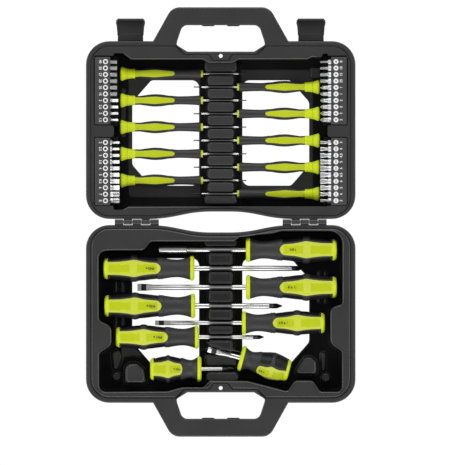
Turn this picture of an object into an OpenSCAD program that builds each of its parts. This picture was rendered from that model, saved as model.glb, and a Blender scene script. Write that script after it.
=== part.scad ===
// Hard tool case, lying open flat: base towards -Y, lid towards +Y, hinge line along X.
// Each half is a double-walled blow-moulded shell. All sizes are millimetres.

/* [Case] */
// Width of the case along X
case_w = 310; // [290:1:360]
// Reach of each half from the hinge line to its front wall
case_l = 208; // [206:1:214]
// Depth of each half, from its outer face to the rim
half_h = 33; // [33:0.5:40]
// Distance from the hinge line to the shell's rear edge
rear_gap = 3.5; // [3.4:0.1:4]
// Radius of the case corners
corner_r = 27; // [20:1:30]
// Height of the sloped band round the outer face
edge_slope = 6; // [4:0.5:8]
// How far the waist at the middle of the hinge side is drawn in
waist_in = 8.5; // [4:0.5:8.5]
// Wall of the moulding
wall = 2; // [1.6:0.1:2.4]
// Thickness of the floor, where both walls are pressed together
floor_t = 3; // [2.4:0.1:4]
// Width of the raised rim band
rim_w = 5; // [4:0.5:6]
// Depth of the land below the rim
land_drop = 1; // [0.5:0.1:1.5]
// Width of the seal groove beside the rim
groove_w = 1.2; // [0.8:0.1:1.6]

/* [Handle] */
// How far the handle stands out in front of the case
handle_out = 39; // [36:1:52]
// Width of the handle where it leaves the shell
handle_root_w = 160; // [150:1:170]
// Width of the handle at the grip
handle_top_w = 112; // [104:1:124]
// Thickness of each half of the handle
handle_t = 16; // [12:0.5:20]
// Width of the finger hole at its widest
hole_w = 103; // [96:1:104]
// Width of the grip in front of the finger hole
grip_w = 20.5; // [17:0.5:24]
// How far the finger hole reaches back behind the case's front wall
hole_in = 12; // [10:0.5:13]
// Radius of the padlock hole
lock_hole_r = 2.25; // [2:0.05:3]
// Thickness of the padlock flange
lock_flange_t = 4; // [3:0.5:6]

/* [Windows] */
// Inner edge of each window from the middle
window_in = 25; // [25:0.5:30]
// Distance from each window to the side of the case
window_margin = 53; // [53:0.5:60]
// Rear edge of each window from the hinge line
window_rear = 42; // [38:0.5:48]
// Distance from each window to the case's front wall
window_sill = 44.5; // [44:0.5:58]

/* [Hinges and latches] */
// Distance from each hinge's middle to the side of the case
hinge_margin = 58.5; // [55:0.5:65]
// Length of each hinge
hinge_l = 51; // [40:1:56]
// Radius of the hinge pins
pin_r = 1.5; // [1.2:0.1:1.7]
// Radius of the hinge knuckles
knuckle_r = 3; // [2.8:0.1:3.1]
// Distance from each latch's middle to the side of the case
latch_margin = 51; // [49:0.5:55]
// Width of each latch at its pivot
latch_w = 30; // [24:1:32]
// Distance from a latch's pivot to its hook
latch_l = 27; // [26:0.5:28]
// Thickness of the latch plate
latch_t = 3; // [2.5:0.1:3.2]
// Height of the latch hook
hook_h = 5; // [4:0.1:5.2]

/* [Precision drivers] */
// Radius of the swivel cap
cap_r = 8.15; // [7.5:0.05:8.3]
// Length of the swivel cap
cap_l = 8.1; // [7:0.1:9]
// Largest radius of the handle
prec_handle_r = 7.5; // [6.5:0.1:7.6]
// Length of the bare blade
prec_blade_l = 50; // [40:1:60]
// Radius of the blade
prec_blade_r = 1.25; // [1:0.05:1.6]
// Distance from the left racks to the caps
prec_rack_gap = 11; // [10.8:0.1:13]
// Distance from the middle of the case to the front ends of the left handles
prec_end_in = 20.5; // [20:0.1:22]
// How much nearer to the middle the right-hand drivers lie
prec_right_in = 1.7; // [1.6:0.1:2]

/* [Large drivers] */
// Radius of the full-size handle at its swell
big_r = 15.5; // [14:0.1:15.8]
// Length of the full-size handle
big_l = 104.6; // [98:0.5:106]
// Radius of the full-size shank
big_shank_r = 3; // [2.5:0.1:3.2]
// Radius of the small handle at its swell
small_r = 14.6; // [13.5:0.1:14.8]
// Length of the small handle
small_l = 95.5; // [88:0.5:97]
// Radius of the small shank
small_shank_r = 2.5; // [2:0.1:2.7]
// Radius of the stubby handle at its swell
stubby_r = 16; // [14.5:0.1:16.4]
// Length of the stubby handle
stubby_l = 59; // [54:0.5:61]
// Length of the long blades
long_blade_l = 125; // [115:1:130]
// Length of the middle blades
middle_blade_l = 100; // [90:1:104]
// Length of the short blade
short_blade_l = 75; // [65:1:80]
// Length of a stubby blade
stubby_blade_l = 38; // [32:1:42]
// Radius of the bit holder's sleeve
holder_r = 4.1; // [3.9:0.1:4.6]
// Length of the bit holder's sleeve
holder_l = 32; // [26:1:36]

/* [Bits and racks] */
// Distance across the flats of the bits
bit_af = 6.35; // [6.2:0.01:6.4]
// Length of a bit
bit_l = 25; // [24:0.5:26]
// Depth of the right-hand bits in their racks
bit_seat = 12.6; // [12:0.1:12.8]
// How much deeper the left-hand bits sit
left_deeper = 1.8; // [1.8:0.1:2.4]
// Distance between neighbouring bits
bit_pitch = 7.44; // [7.4:0.02:7.6]
// Gap between the two racks of a side
rack_bridge = 15; // [12:0.5:18]
// Distance from the hinge line to the lower racks
rack_rear_gap = 19; // [18.8:0.1:20]
// Distance from the upper racks to the case's front wall
rack_front_gap = 18; // [17:0.5:22]
// Width of a rack
rack_w = 18; // [16:0.5:18.5]
// Height of a rack
rack_h = 14.2; // [13:0.1:14.8]

/* [Fits] */
// Gap between a tool and the seat under it
seat_gap = 0.3; // [0.3:0.05:0.5]
// Radial clearance of pins in their bores
pin_fit = 0.05; // [0.03:0.01:0.09]
// Gap between neighbouring moving pieces
side_gap = 0.4; // [0.3:0.05:0.6]
// Space left on each side of a blade in its spine slot
slot_gap = 0.8; // [0.5:0.1:1.6]

/* [Hidden] */
$fn = 48;
eps = 0.01;
over = 1;                                  // how far a cut runs past the face it opens
hinge_z = half_h + 0.25;                   // the rims stand half a millimetre apart when closed
land_z = half_h - land_drop;
groove_d = 1;                              // depth of the groove below the land
top_wall = land_drop + groove_d + 1.5;     // moulding left over the hollow at the rim
half_w = case_w / 2;

// Handle
handle_l = case_l + handle_out;
handle_corner_r = 15;
hole_front = handle_l - grip_w;
hole_rear = case_l - hole_in;
hole_d = hole_front - hole_rear;
hole_foot = 13;                            // how much narrower the finger hole is at its rear edge
hole_lean = 7.5;                           // and at its front edge
grip_z = half_h - handle_t;
bump_w = 14.5;
bump_h = 1.2;
bump_x = 14.5;

// Padlock flange
lock_y = hole_rear - 5;
flange_half_w = 11;
flange_rear = lock_y - 5.8;
flange_z = land_z - lock_flange_t;
tab_front = hole_rear - 3;                 // the groove runs round the padlock tab
tab_rear = lock_y - 5;

// Windows and hinges
window_out = half_w - window_margin;
window_front = case_l - window_sill;
hinge_x = half_w - hinge_margin;
knuckle_step = hinge_l / 5;

// Latches, placed on the lid
latch_x = half_w - latch_margin;
latch_y = case_l - 3.6;                    // pivot line
latch_z = half_h - 14;
barrel_r = 3;
plate_drop = 4;                            // from the pivot to the plate's inner face
trunnion_l = 3;
latch_tip_w = latch_w + 4;
catch_z = 2 * hinge_z - latch_z - latch_l; // the hook's upper face when the case is closed

// Racks and bits
rack_shelf = half_h - 16;
rack_out = half_w - 10;
rack_in = rack_out - rack_w;
rack_z = rack_shelf + seat_gap;
bit_z = rack_z + rack_h / 2;
rack_end = 1.8;                            // plastic beyond the outermost bits
rack_l = (case_l - rack_rear_gap - rack_bridge - rack_front_gap) / 2;
bit_count = floor((rack_l - 2 * rack_end) / bit_pitch + eps);
rack_pocket_out = rack_out + 1;
rack_rear_y = rack_rear_gap;               // rear end of the lower racks
rack_front_y = rack_rear_y + rack_l + rack_bridge;

// Precision drivers: the left ones and the right ones lie interleaved
prec_z = floor_t + seat_gap + cap_r;
prec_left_reach = rack_in - prec_rack_gap;
prec_right_reach = prec_left_reach - prec_right_in;
prec_handle_l = prec_left_reach - prec_end_in; // handle and cap together
cap_foot_r = 6.3;                          // where the cap's flare runs on into the handle's neck
neck_r = 5.4;
waist_r = 4.75;
shelf_in = prec_left_reach + 2.3;
prec_n = 10;
prec_first_y = case_l - 37;
prec_last_y = 32.4;
prec_pitch = (prec_first_y - prec_last_y) / (prec_n - 1);
prec_slot_gap = 0.5;
collar_l = 2.5;
collar_r = 4.25;
spigot_r = 1.5;
spigot_l = 5;

// Spines
spine_w = 2 * window_in - 2;
block_w = 30;
low_block_w = 26;
grip_end_r = 5.6;                          // radius of a precision handle beside its collar
lid_spine_y = [17, case_l - 24];           // rear and front end of the lid's plateau
lid_block_y = [23, case_l - 28];
lid_block_z = 20;
lid_plateau_z = prec_z - grip_end_r - seat_gap;
lid_slot_z = prec_z - prec_blade_r - seat_gap;
base_spine_y = [20, case_l - 58];
base_block_y = [35.7, case_l - 58.7];
low_block_front = case_l - 24;
base_block_z = 28;
base_plateau_z = 8;
base_slot_z = floor_t + small_r - small_shank_r;
low_block_z = floor_t + stubby_r - big_shank_r;
rest_h = 20;                               // height of the D-shaped rests
rest_slope = 1.5;
boss_r = 5.6;
boss_h = 8;

// Hole through which the moulding was blown
needle_r = 0.75;
needle_x = 74.5;
needle_in = 9;

// The trays and the large drivers are drawn for a half of 310 by 208 mm and follow its width and length
across = case_w / 310;
along = case_l / 208;

function fitted(pts) = [for (p = pts) [p.x * across, p.y * along, p.z * along]];

// Large drivers: [x of the handle's butt, y of the axis, direction of the blade, length of the blade]
function placed(x, y, turn, blade) = [x * across, -y * along, turn, blade];

socket_af = bit_af + 0.1;
socket_deep = 15;
blade_seat = 28;                           // length of shank inside a handle
stubby_seat = 20;
stubby_reach = stubby_l + stubby_blade_l / 2;
wide_tip = 8;                              // widths of the flat blades
narrow_tip = 5.5;
stubby_tip = 6.5;
long_phillips_at = placed(-134.9, 53.4, 0, long_blade_l);
phillips_at = placed(-133.9, 96.7, 0, middle_blade_l);
small_phillips_at = placed(-120.8, 132.6, 0, short_blade_l);
stubby_phillips_at = placed(-81.2, 169.4, 0, stubby_blade_l);
bit_holder_at = placed(133.6, 31.9, 180, middle_blade_l);
long_slotted_at = placed(133.6, 75.2, 180, long_blade_l);
slotted_at = placed(119.9, 116.2, 180, middle_blade_l);
stubby_slotted_at = placed(79.1, 171.3, 165.3, stubby_blade_l);

// ---- outlines ----

function unit(v) = v / norm(v);

// The corner at b between a and c, turned into an arc of radius r with n steps
function arc_corner(a, b, c, r, n) =
    let (u = unit(a - b), v = unit(c - b), half = acos(u * v) / 2,
         m = b + unit(u + v) * r / sin(half),
         p = b + u * r / tan(half) - m, q = b + v * r / tan(half) - m,
         a0 = atan2(p.y, p.x), turn = atan2(p.x * q.y - p.y * q.x, p * q))
    [for (k = [0:n]) m + r * [cos(a0 + turn * k / n), sin(a0 + turn * k / n)]];

// A closed outline of [x, y, corner radius] points; a radius of 0 is a sharp corner
function rounded(pts, n = 6) =
    let (last = len(pts) - 1)
    [for (i = [0:last])
        let (a = pts[i == 0 ? last : i - 1], b = pts[i], c = pts[i == last ? 0 : i + 1])
        each b.z == 0 ? [[b.x, b.y]]
            : arc_corner([a.x, a.y], [b.x, b.y], [c.x, c.y], b.z, n)];

// An anticlockwise outline drawn in by d on every side; a negative d lets it out
function inset(pts, d) =
    let (last = len(pts) - 1)
    [for (i = [0:last])
        let (a = pts[i == 0 ? last : i - 1], b = pts[i], c = pts[i == last ? 0 : i + 1],
             u = unit(b - a), v = unit(c - b), n1 = [-u.y, u.x], n2 = [-v.y, v.x])
        b + (n1 + n2) * d / (1 + n1 * n2)];

// Radii along a turned piece: between two [place, radius] points the radius eases over
function eased(pts, n = 5) =
    [for (i = [0:len(pts) - 2], k = [0:n - 1])
        let (t = k / n, a = pts[i], b = pts[i + 1])
        if (k == 0 || a[1] != b[1])
            [a[0] + (b[0] - a[0]) * t, a[1] + (b[1] - a[1]) * (1 - cos(180 * t)) / 2],
     pts[len(pts) - 1]];

case_line = rounded([
    [-half_w, rear_gap, corner_r], [-68, rear_gap, 150], [-26, rear_gap + waist_in, 150],
    [26, rear_gap + waist_in, 150], [68, rear_gap, 150], [half_w, rear_gap, corner_r],
    [half_w, case_l, corner_r], [-half_w, case_l, corner_r]]);

groove_line = rounded([
    [-half_w + rim_w, rear_gap + 3, corner_r - rim_w], [-68, rear_gap + 3, 150],
    [-26, rear_gap + 3 + waist_in, 150], [26, rear_gap + 3 + waist_in, 150],
    [68, rear_gap + 3, 150], [half_w - rim_w, rear_gap + 3, corner_r - rim_w],
    [half_w - rim_w, case_l - rim_w, corner_r - rim_w], [hole_w / 2, case_l - rim_w, 4],
    [hole_w / 2 - 10, tab_front, 4], [flange_half_w + 2, tab_front, 2],
    [flange_half_w - 3, tab_rear, 2], [3 - flange_half_w, tab_rear, 2],
    [-flange_half_w - 2, tab_front, 2], [10 - hole_w / 2, tab_front, 4],
    [-hole_w / 2, case_l - rim_w, 4], [-half_w + rim_w, case_l - rim_w, corner_r - rim_w]]);

function handle_line(root) = rounded([
    [-handle_root_w / 2, root, 0], [handle_root_w / 2, root, 0],
    [handle_top_w / 2, handle_l, handle_corner_r], [-handle_top_w / 2, handle_l, handle_corner_r]]);

hole_line = rounded([
    [-hole_w / 2 + hole_foot, hole_rear, 0.1 * hole_d], [hole_w / 2 - hole_foot, hole_rear, 0.1 * hole_d],
    [hole_w / 2, hole_rear + 0.26 * hole_d, 0.13 * hole_d],
    [hole_w / 2 - hole_lean, hole_front, 0.26 * hole_d],
    [-hole_w / 2 + hole_lean, hole_front, 0.26 * hole_d],
    [-hole_w / 2, hole_rear + 0.26 * hole_d, 0.13 * hole_d]]);

window_line = rounded([
    [window_in, window_rear, 8.5], [window_out - 21, window_rear, 6],
    [window_out, window_rear + 24, 8], [window_out, window_front - 25, 8],
    [window_out - 22, window_front, 6], [window_in, window_front, 8.5]], 4);

// The base's tray, drawn with y counted from the hinge line
base_tray = rounded(fitted([
    [-140.6, 33, 9], [-121, 32.4, 20], [-89, 32.4, 6], [-80.5, 22.2, 6], [15, 22.2, 3],
    [22.5, 16.4, 4], [60, 13, 8], [70, 10.2, 8], [140.2, 10.2, 15], [140.2, 94.8, 4],
    [126.3, 98.8, 8], [126.3, 139.8, 9], [139.6, 149, 5], [139.6, 195.4, 6], [114.5, 195.4, 5],
    [106, 182.7, 6], [85.5, 182.7, 6], [77, 195.2, 5], [31, 183.2, 10], [-12, 182.6, 3.2],
    [-20.5, 190.4, 2], [-45, 190.4, 12], [-61, 195, 12], [-140.1, 195.6, 8], [-140.1, 151, 6],
    [-126, 141.5, 8], [-126, 120.5, 8], [-140.4, 113.6, 6]]), 4);

// The lid's tray between the racks
lid_tray = rounded(fitted([
    [-123.3, 13.8, 2], [-112.6, 13.8, 3], [-106.5, 17.6, 4], [123.3, 17.6, 3], [123.3, 193.8, 2],
    [117.2, 193.8, 1.5], [116.6, 189.8, 2.6], [105, 189.8, 5], [99.5, 187.2, 5], [20.7, 187, 4],
    [13.5, 183, 4], [-13.5, 183, 4], [-20.7, 187, 4], [-103, 187, 6], [-112.8, 194.4, 4],
    [-123.3, 194.4, 2]]), 4);

function rack_pocket(y0, y1) = rounded([
    [shelf_in, y0, 1], [rack_pocket_out, y0, 1.5], [rack_pocket_out, y1, 1.5], [shelf_in, y1, 1]], 4);

rack_pockets = [[rack_rear_y - 0.6, rack_rear_y + rack_l + 1],
                [rack_front_y - 1, rack_front_y + rack_l + 1.5]];

// ---- shell building blocks, drawn with y counted from the hinge line ----

module slab(pts, z0, z1) {
    translate([0, 0, z0])
        linear_extrude(z1 - z0)
            polygon(pts);
}

// A dish with rounded corners and a sloped lower edge, drawn in by d on every side
module dish(d, z0, z1, slope) {
    box = rounded([
        [-half_w + d, rear_gap + d, corner_r - d], [half_w - d, rear_gap + d, corner_r - d],
        [half_w - d, case_l - d, corner_r - d], [-half_w + d, case_l - d, corner_r - d]], 8);
    hull() {
        slab(inset(box, slope), z0, z0 + eps);
        slab(inset(box, slope * 0.35), z0 + slope * 0.35, z0 + slope * 0.35 + eps);
        slab(box, z0 + slope, z1);
    }
}

// What is left of the middle of the hinge side when the waist is drawn in
module waist_cut(d) {
    y = rear_gap + d;
    slab(rounded([
        [-72, -over, 0], [72, -over, 0], [72, y, 0], [68, y, 20], [26, y + waist_in, 150],
        [-26, y + waist_in, 150], [-68, y, 20], [-72, y, 0]]), -over, half_h + over);
}

module both_sides() {
    children();
    mirror([1, 0, 0]) children();
}

// The hollow between the outer and the inner wall; trays is a list of [outline, floor height]
module hollow(trays) {
    difference() {
        union() {
            difference() {
                dish(wall, wall, half_h - top_wall, edge_slope - 1);
                waist_cut(wall);
            }
            slab(inset(handle_line(hole_rear), wall), grip_z + wall, half_h - top_wall);
        }
        for (t = trays)
            slab(inset(t[0], -wall), t[1] - wall, half_h + over);
        slab(inset(hole_line, -wall), -over, half_h + over);
        translate([-flange_half_w - wall, flange_rear - wall, -over])
            cube([2 * (flange_half_w + wall), hole_front - flange_rear, half_h + 2 * over]);
        both_sides()
            translate([latch_x - latch_w / 2 - 7, latch_y - 5.5, -over])
                cube([latch_w + 14, case_l, half_h + 2 * over]);
    }
}

// The walls, rim, land, handle and padlock flange that both halves share
module half_body(trays) {
    difference() {
        union() {
            difference() {
                dish(0, 0, half_h, edge_slope);
                waist_cut(0);
            }
            slab(handle_line(case_l - 8), grip_z, half_h);
        }
        hollow(trays);
        slab(hole_line, -over, half_h + over);
        slab(groove_line, land_z, half_h + over);
        difference() {
            slab(groove_line, land_z - groove_d, half_h + over);
            slab(inset(groove_line, groove_w), land_z - groove_d - over, half_h + 2 * over);
        }
        for (t = trays)
            slab(t[0], t[1], half_h + over);
        translate([-flange_half_w, flange_rear, -over])
            cube([2 * flange_half_w, hole_rear - flange_rear + over, flange_z + over]);
        translate([0, lock_y, 0])
            cylinder(r = lock_hole_r, h = half_h + over);
    }
    for (x = [-bump_x, bump_x])
        translate([x - bump_w / 2, hole_front - bump_h, grip_z + 3])
            cube([bump_w, bump_h + over, handle_t - 6]);
}

// A ridge between the windows: a low plateau and a row of blocks, each over [rear, front]
module spine(plateau_y, plateau, block_y, top) {
    translate([-spine_w / 2, plateau_y[0], 0])
        cube([spine_w, plateau_y[1] - plateau_y[0], plateau]);
    translate([-block_w / 2, block_y[0], 0])
        cube([block_w, block_y[1] - block_y[0], top]);
}

// The hollow under a spine, which opens into the hollow at the hinge side
module spine_hollow(plateau_y, plateau, block_y, slot_floor) {
    rear = plateau_y[0] - over - wall;
    translate([-block_w / 2 + wall, rear, wall])
        cube([block_w - 2 * wall, block_y[0] - rear + 2 * wall, plateau - 2 * wall]);
    translate([-block_w / 2 + wall, block_y[0] + wall, wall])
        cube([block_w - 2 * wall, block_y[1] - block_y[0] - 2 * wall, slot_floor - 2 * wall]);
}

module windows() {
    both_sides()
        slab(window_line, -over, half_h + over);
}

// Knuckles of one half: those whose number is even belong to the base, the odd ones to the lid
module knuckles(first) {
    for (side = [-1, 1], k = [first:2:4]) {
        x = side * hinge_x - hinge_l / 2 + k * knuckle_step + side_gap / 2;
        translate([x, 0, hinge_z])
            rotate([0, 90, 0])
                cylinder(r = knuckle_r, h = knuckle_step - side_gap);
        translate([x, 0, hinge_z - knuckle_r])
            cube([knuckle_step - side_gap, rear_gap + wall, knuckle_r - 0.25]);
    }
}

module hinge_bore() {
    translate([-half_w, 0, hinge_z])
        rotate([0, 90, 0])
            cylinder(r = pin_r + pin_fit, h = case_w);
}

// ---- shells ----

// A straight slot across the spine for a blade of radius r at height z, open upwards
module blade_slot(x, y, turn, r, z, gap) {
    translate([x, y, z - r - seat_gap])
        rotate(turn)
            translate([-40, -r - gap, 0])
                cube([80, 2 * (r + gap), half_h]);
}

// The recess for a latch's barrel in the lid's front wall, with its pin bores
module latch_recess() {
    translate([latch_x - latch_w / 2 - 0.5, latch_y - barrel_r - side_gap,
               latch_z - plate_drop - latch_t - 0.8])
        cube([latch_w + 1, 20, plate_drop + latch_t + 0.8 + barrel_r + 1]);
    translate([latch_x - latch_w / 2 - trunnion_l - 0.5, latch_y, latch_z])
        rotate([0, 90, 0])
            cylinder(r = barrel_r / 2 + pin_fit, h = latch_w + 2 * trunnion_l + 1);
}

// The slot in the base's front wall that a latch's hook snaps into
module catch_slot() {
    translate([latch_x - latch_tip_w / 2 - 0.5, latch_y - hook_h + plate_drop - side_gap,
               catch_z - latch_t - 0.6])
        cube([latch_tip_w + 1, 20, latch_t + 1.2]);
}

module base_shell() {
    trays = [[base_tray, floor_t]];
    color([0.13, 0.13, 0.14])
    mirror([0, 1, 0])
    difference() {
        union() {
            half_body(trays);
            spine(base_spine_y, base_plateau_z, base_block_y, base_block_z);
            translate([-low_block_w / 2, base_block_y[1] - eps, 0])
                cube([low_block_w, low_block_front - base_block_y[1], low_block_z]);
            knuckles(0);
            rest_block([-98 * across, 174.3 * along], [25, 23.4]);
            rest_block([99 * across, 165.3 * along], [24.4, 20.4]);
            for (at = [[-120 * across, 178 * along], [121.2 * across, 179.5 * along]])
                translate([at.x, at.y, floor_t - over])
                    cylinder(r1 = boss_r, r2 = boss_r - 1.2, h = boss_h + over);
        }
        windows();
        spine_hollow(base_spine_y, base_plateau_z, base_block_y, base_slot_z);
        for (d = [[bit_holder_at, big_shank_r, big_r], [long_phillips_at, big_shank_r, big_r],
                  [long_slotted_at, big_shank_r, big_r], [phillips_at, big_shank_r, big_r],
                  [slotted_at, small_shank_r, small_r], [small_phillips_at, small_shank_r, small_r],
                  [stubby_phillips_at, small_shank_r, stubby_r]])
            blade_slot(0, -d[0].y, 0, d[1], handle_z(d[2]), slot_gap);
        blade_slot(stubby_slotted_at.x + stubby_reach * cos(stubby_slotted_at[2]),
                   -stubby_slotted_at.y - stubby_reach * sin(stubby_slotted_at[2]),
                   -stubby_slotted_at[2], big_shank_r, handle_z(stubby_r), slot_gap);
        both_sides()
            catch_slot();
        hinge_bore();
        translate([needle_x, case_l - needle_in, -over])
            cylinder(r = needle_r, h = wall + 2 * over);
    }
}

// A rest on the tray's floor: round towards the hinge, straight in front
module rest_block(at, size) {
    translate([at.x, at.y, floor_t - over])
        hull() {
            slab(rest_line(size, 0), 0, over + rest_h - rest_slope);
            slab(rest_line(size, rest_slope), 0, over + rest_h);
        }
}

function rest_line(size, d) =
    let (x = size.x / 2 - d, y = size.y / 2 - d)
    rounded([[-x, -y, 0.9 * x], [x, -y, 0.9 * x], [x, y, 2], [-x, y, 2]]);

module lid_shell() {
    trays = concat([[lid_tray, floor_t]],
        [for (y = rack_pockets, side = [1, -1])
            [side > 0 ? rack_pocket(y[0], y[1]) : mirrored(rack_pocket(y[0], y[1])), rack_shelf]]);
    color([0.13, 0.13, 0.14])
    difference() {
        union() {
            half_body(trays);
            spine(lid_spine_y, lid_plateau_z, lid_block_y, lid_block_z);
            knuckles(1);
        }
        windows();
        spine_hollow(lid_spine_y, lid_plateau_z, lid_block_y, lid_slot_z);
        for (i = [0:prec_n - 1])
            blade_slot(0, prec_first_y - i * prec_pitch, 0, prec_blade_r, prec_z, prec_slot_gap);
        both_sides()
            latch_recess();
        hinge_bore();
        translate([needle_x, case_l - needle_in, half_h - top_wall - over])
            cylinder(r = needle_r, h = top_wall + 2 * over);
    }
}

function mirrored(pts) = [for (i = [len(pts) - 1:-1:0]) [-pts[i].x, pts[i].y]];

module hinge_pins() {
    color([0.7, 0.7, 0.72])
    for (side = [-1, 1])
        translate([side * hinge_x - hinge_l / 2 + side_gap / 2, 0, hinge_z])
            rotate([0, 90, 0])
                cylinder(r = pin_r, h = hinge_l - side_gap);
}

// ---- latches ----

module latch(x) {
    plate_z = latch_z - plate_drop - latch_t;
    color([0.13, 0.13, 0.14]) {
        translate([x, latch_y, latch_z])
            rotate([0, 90, 0])
                cylinder(r = barrel_r, h = latch_w, center = true);
        translate([x, latch_y, latch_z])
            rotate([0, 90, 0])
                cylinder(r = barrel_r / 2, h = latch_w + 2 * trunnion_l, center = true);
        translate([x - latch_w / 2, latch_y - 2.5, plate_z])
            cube([latch_w, 5, plate_drop + latch_t]);
        slab([[x - latch_w / 2, latch_y - 2.5], [x + latch_w / 2, latch_y - 2.5],
              [x + latch_tip_w / 2, latch_y + latch_l + latch_t],
              [x - latch_tip_w / 2, latch_y + latch_l + latch_t]], plate_z, plate_z + latch_t);
        translate([x - latch_tip_w / 2 + 0.3, latch_y + latch_l, plate_z])
            cube([latch_tip_w - 0.6, latch_t, latch_t + hook_h]);
    }
}

module latch_left() {
    latch(-latch_x);
}

module latch_right() {
    latch(latch_x);
}

// ---- racks and bits ----

function seat_depth(side) = side > 0 ? bit_seat : bit_seat + left_deeper;

// Runs its children along a bit's axis, from the rack's inside towards the middle of the case
module at_bit(side, y) {
    translate([side * (rack_in + seat_depth(side)), y, bit_z])
        rotate([0, -side * 90, 0])
            children();
}

function bit_y(y0, i) = y0 + rack_l / 2 + (i - (bit_count - 1) / 2) * bit_pitch;

module hex_bar(af, h) {
    cylinder(d = af / cos(30), h = h, $fn = 6);
}

module rack(side, y0) {
    x0 = side > 0 ? rack_in : -rack_out;
    color([0.2, 0.2, 0.21])
    difference() {
        translate([x0, y0, rack_z])
            cube([rack_w, rack_l, rack_h]);
        for (i = [0:bit_count - 1])
            at_bit(side, bit_y(y0, i))
                hex_bar(bit_af + 0.1, seat_depth(side) + over);
    }
}

// A bit: a hexagonal shank, a turned neck of radius r and its end.
// kind 0 is a pointed cross bit, 1 a flat blade, 2 a plain thin key, 3 a nut socket
module bit(kind, r, len) {
    shank = kind == 3 ? len - 7 : len - 9;
    hex_bar(bit_af, shank);
    if (kind == 0)
        rotate_extrude()
            polygon([[0, shank], [3.1, shank], [r, shank + 1.4], [r, len - 3], [0.5, len], [0, len]]);
    if (kind == 1) {
        rotate_extrude()
            polygon([[0, shank], [3.1, shank], [r, shank + 1.4], [r, shank + 3.5], [0, shank + 3.5]]);
        translate([-0.5, -r, shank + 3])
            cube([1, 2 * r, len - shank - 3]);
    }
    if (kind == 2)
        rotate_extrude()
            polygon([[0, shank], [3.1, shank], [r, shank + 2.5], [r, len], [0, len]]);
    if (kind == 3)
        difference() {
            translate([0, 0, shank - 3])
                cylinder(r = r, h = len - shank + 3);
            translate([0, 0, shank + 2])
                hex_bar(r * 1.35, len - shank);
        }
}

// Kinds and neck radii of the ten bits of each set, from the hinge line outwards
upper_left_bits = [[2, 1.3], [2, 1.5], [2, 1.7], [2, 2], [0, 2.3], [0, 2.3], [0, 2.3], [0, 2.3],
                   [0, 2.3], [0, 2.3]];
upper_right_bits = [[0, 2.7], [0, 2.7], [0, 2.5], [0, 2.5], [0, 2.3], [0, 2.3], [2, 2.1], [2, 1.9],
                    [2, 1.6], [2, 1.4]];
lower_left_bits = [[3, 3.6], [3, 3.5], [2, 3.1], [2, 2.9], [2, 2.6], [2, 2.4], [2, 2.1], [2, 1.8],
                   [2, 1.5], [2, 1.3]];
lower_right_bits = [[1, 1.6], [1, 2], [1, 2.7], [1, 3], [1, 3], [1, 2.9], [1, 2.7], [1, 2.5],
                    [1, 2], [1, 1.6]];

module bits(side, y0, kinds, short_from) {
    color([0.62, 0.62, 0.64])
    for (i = [0:bit_count - 1])
        at_bit(side, bit_y(y0, i))
            let (kind = kinds[i % len(kinds)])
                bit(kind[0], kind[1], i >= short_from ? bit_l - 5 : bit_l);
}

// ---- drivers ----

function handle_z(r) = floor_t + seat_gap + r;

// Turns a piece that is built along +Z to lie along X; at is [butt x, y, turn, blade length]
module lay(at, z) {
    translate([at.x, at.y, z])
        rotate([0, 0, at.z])
            rotate([0, 90, 0])
                children();
}

module turned(pts, bore = 0, bore_from = 0) {
    top = pts[len(pts) - 1][0];
    difference() {
        rotate_extrude()
            polygon([[0, pts[0][0]], for (p = pts) [p[1], p[0]], [0, top]]);
        if (bore > 0)
            translate([0, 0, bore_from])
                cylinder(r = bore, h = top);
    }
}

// A precision driver lies along X; odd numbers on the left, even ones on the right
function prec_at(n) = n % 2 == 1 ? [-prec_left_reach, prec_first_y - (n - 1) * prec_pitch, 0]
                                 : [prec_right_reach, prec_first_y - (n - 1) * prec_pitch, 180];

module precision_cap(n) {
    color([0.72, 0.82, 0.12])
    lay(prec_at(n), prec_z) {
        turned(eased([[0, cap_r - 2.4], [2, cap_r], [2.8, cap_r], [cap_l, cap_foot_r]]));
        cylinder(r = spigot_r, h = cap_l + spigot_l);
    }
}

module precision_handle(n) {
    l = prec_handle_l;
    color([0.13, 0.13, 0.14])
    lay(prec_at(n), prec_z)
        difference() {
            turned(eased([[cap_l + 0.3, cap_foot_r], [13.5, neck_r], [18, neck_r], [l * 0.43, prec_handle_r],
                          [l * 0.69, waist_r], [l - collar_l - 1, grip_end_r], [l - collar_l, collar_r],
                          [l, collar_r]]), prec_blade_r + pin_fit, l - 16);
            cylinder(r = spigot_r + pin_fit, h = cap_l + spigot_l + 0.3);
        }
}

module precision_blade(n) {
    end = prec_handle_l + prec_blade_l;
    color([0.75, 0.75, 0.77])
    lay(prec_at(n), prec_z)
        turned([[prec_handle_l - 15.5, prec_blade_r], [end - 3, prec_blade_r], [end, 0.5]]);
}

// A large handle: rounded butt, swell, waist and front flange round the shank's bore
module large_handle(at, l, r, shank_r, seat) {
    color([0.13, 0.13, 0.14])
    lay(at, handle_z(r))
        turned(eased([[0, r * 0.62], [3, r * 0.78], [l * 0.3, r], [l * 0.56, r * 0.89],
                      [l - 14, r * 0.67], [l - 7, r * 0.7], [l - 4.6, r * 0.9],
                      [l - 1.4, r * 0.91], [l, r * 0.78]]), shank_r + pin_fit, l - seat);
}

module shank(at, l, r, shank_r, seat, tip) {
    color([0.75, 0.75, 0.77])
    lay(at, handle_z(r))
        translate([0, 0, l - seat])
            difference() {
                turned([[0, shank_r], [seat + at[3] - tip, shank_r], [seat + at[3], shank_r - tip / 4]]);
                children();
            }
}

// Four flutes that leave a cross at the end of a shank of length len
module flutes(len, r) {
    for (a = [45:90:315])
        rotate(a)
            translate([0.45 * r, -1.4 * r, len - 2.2 * r])
                rotate([0, 12, 0])
                    cube([2 * r, 2.8 * r, 4 * r]);
}

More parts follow.
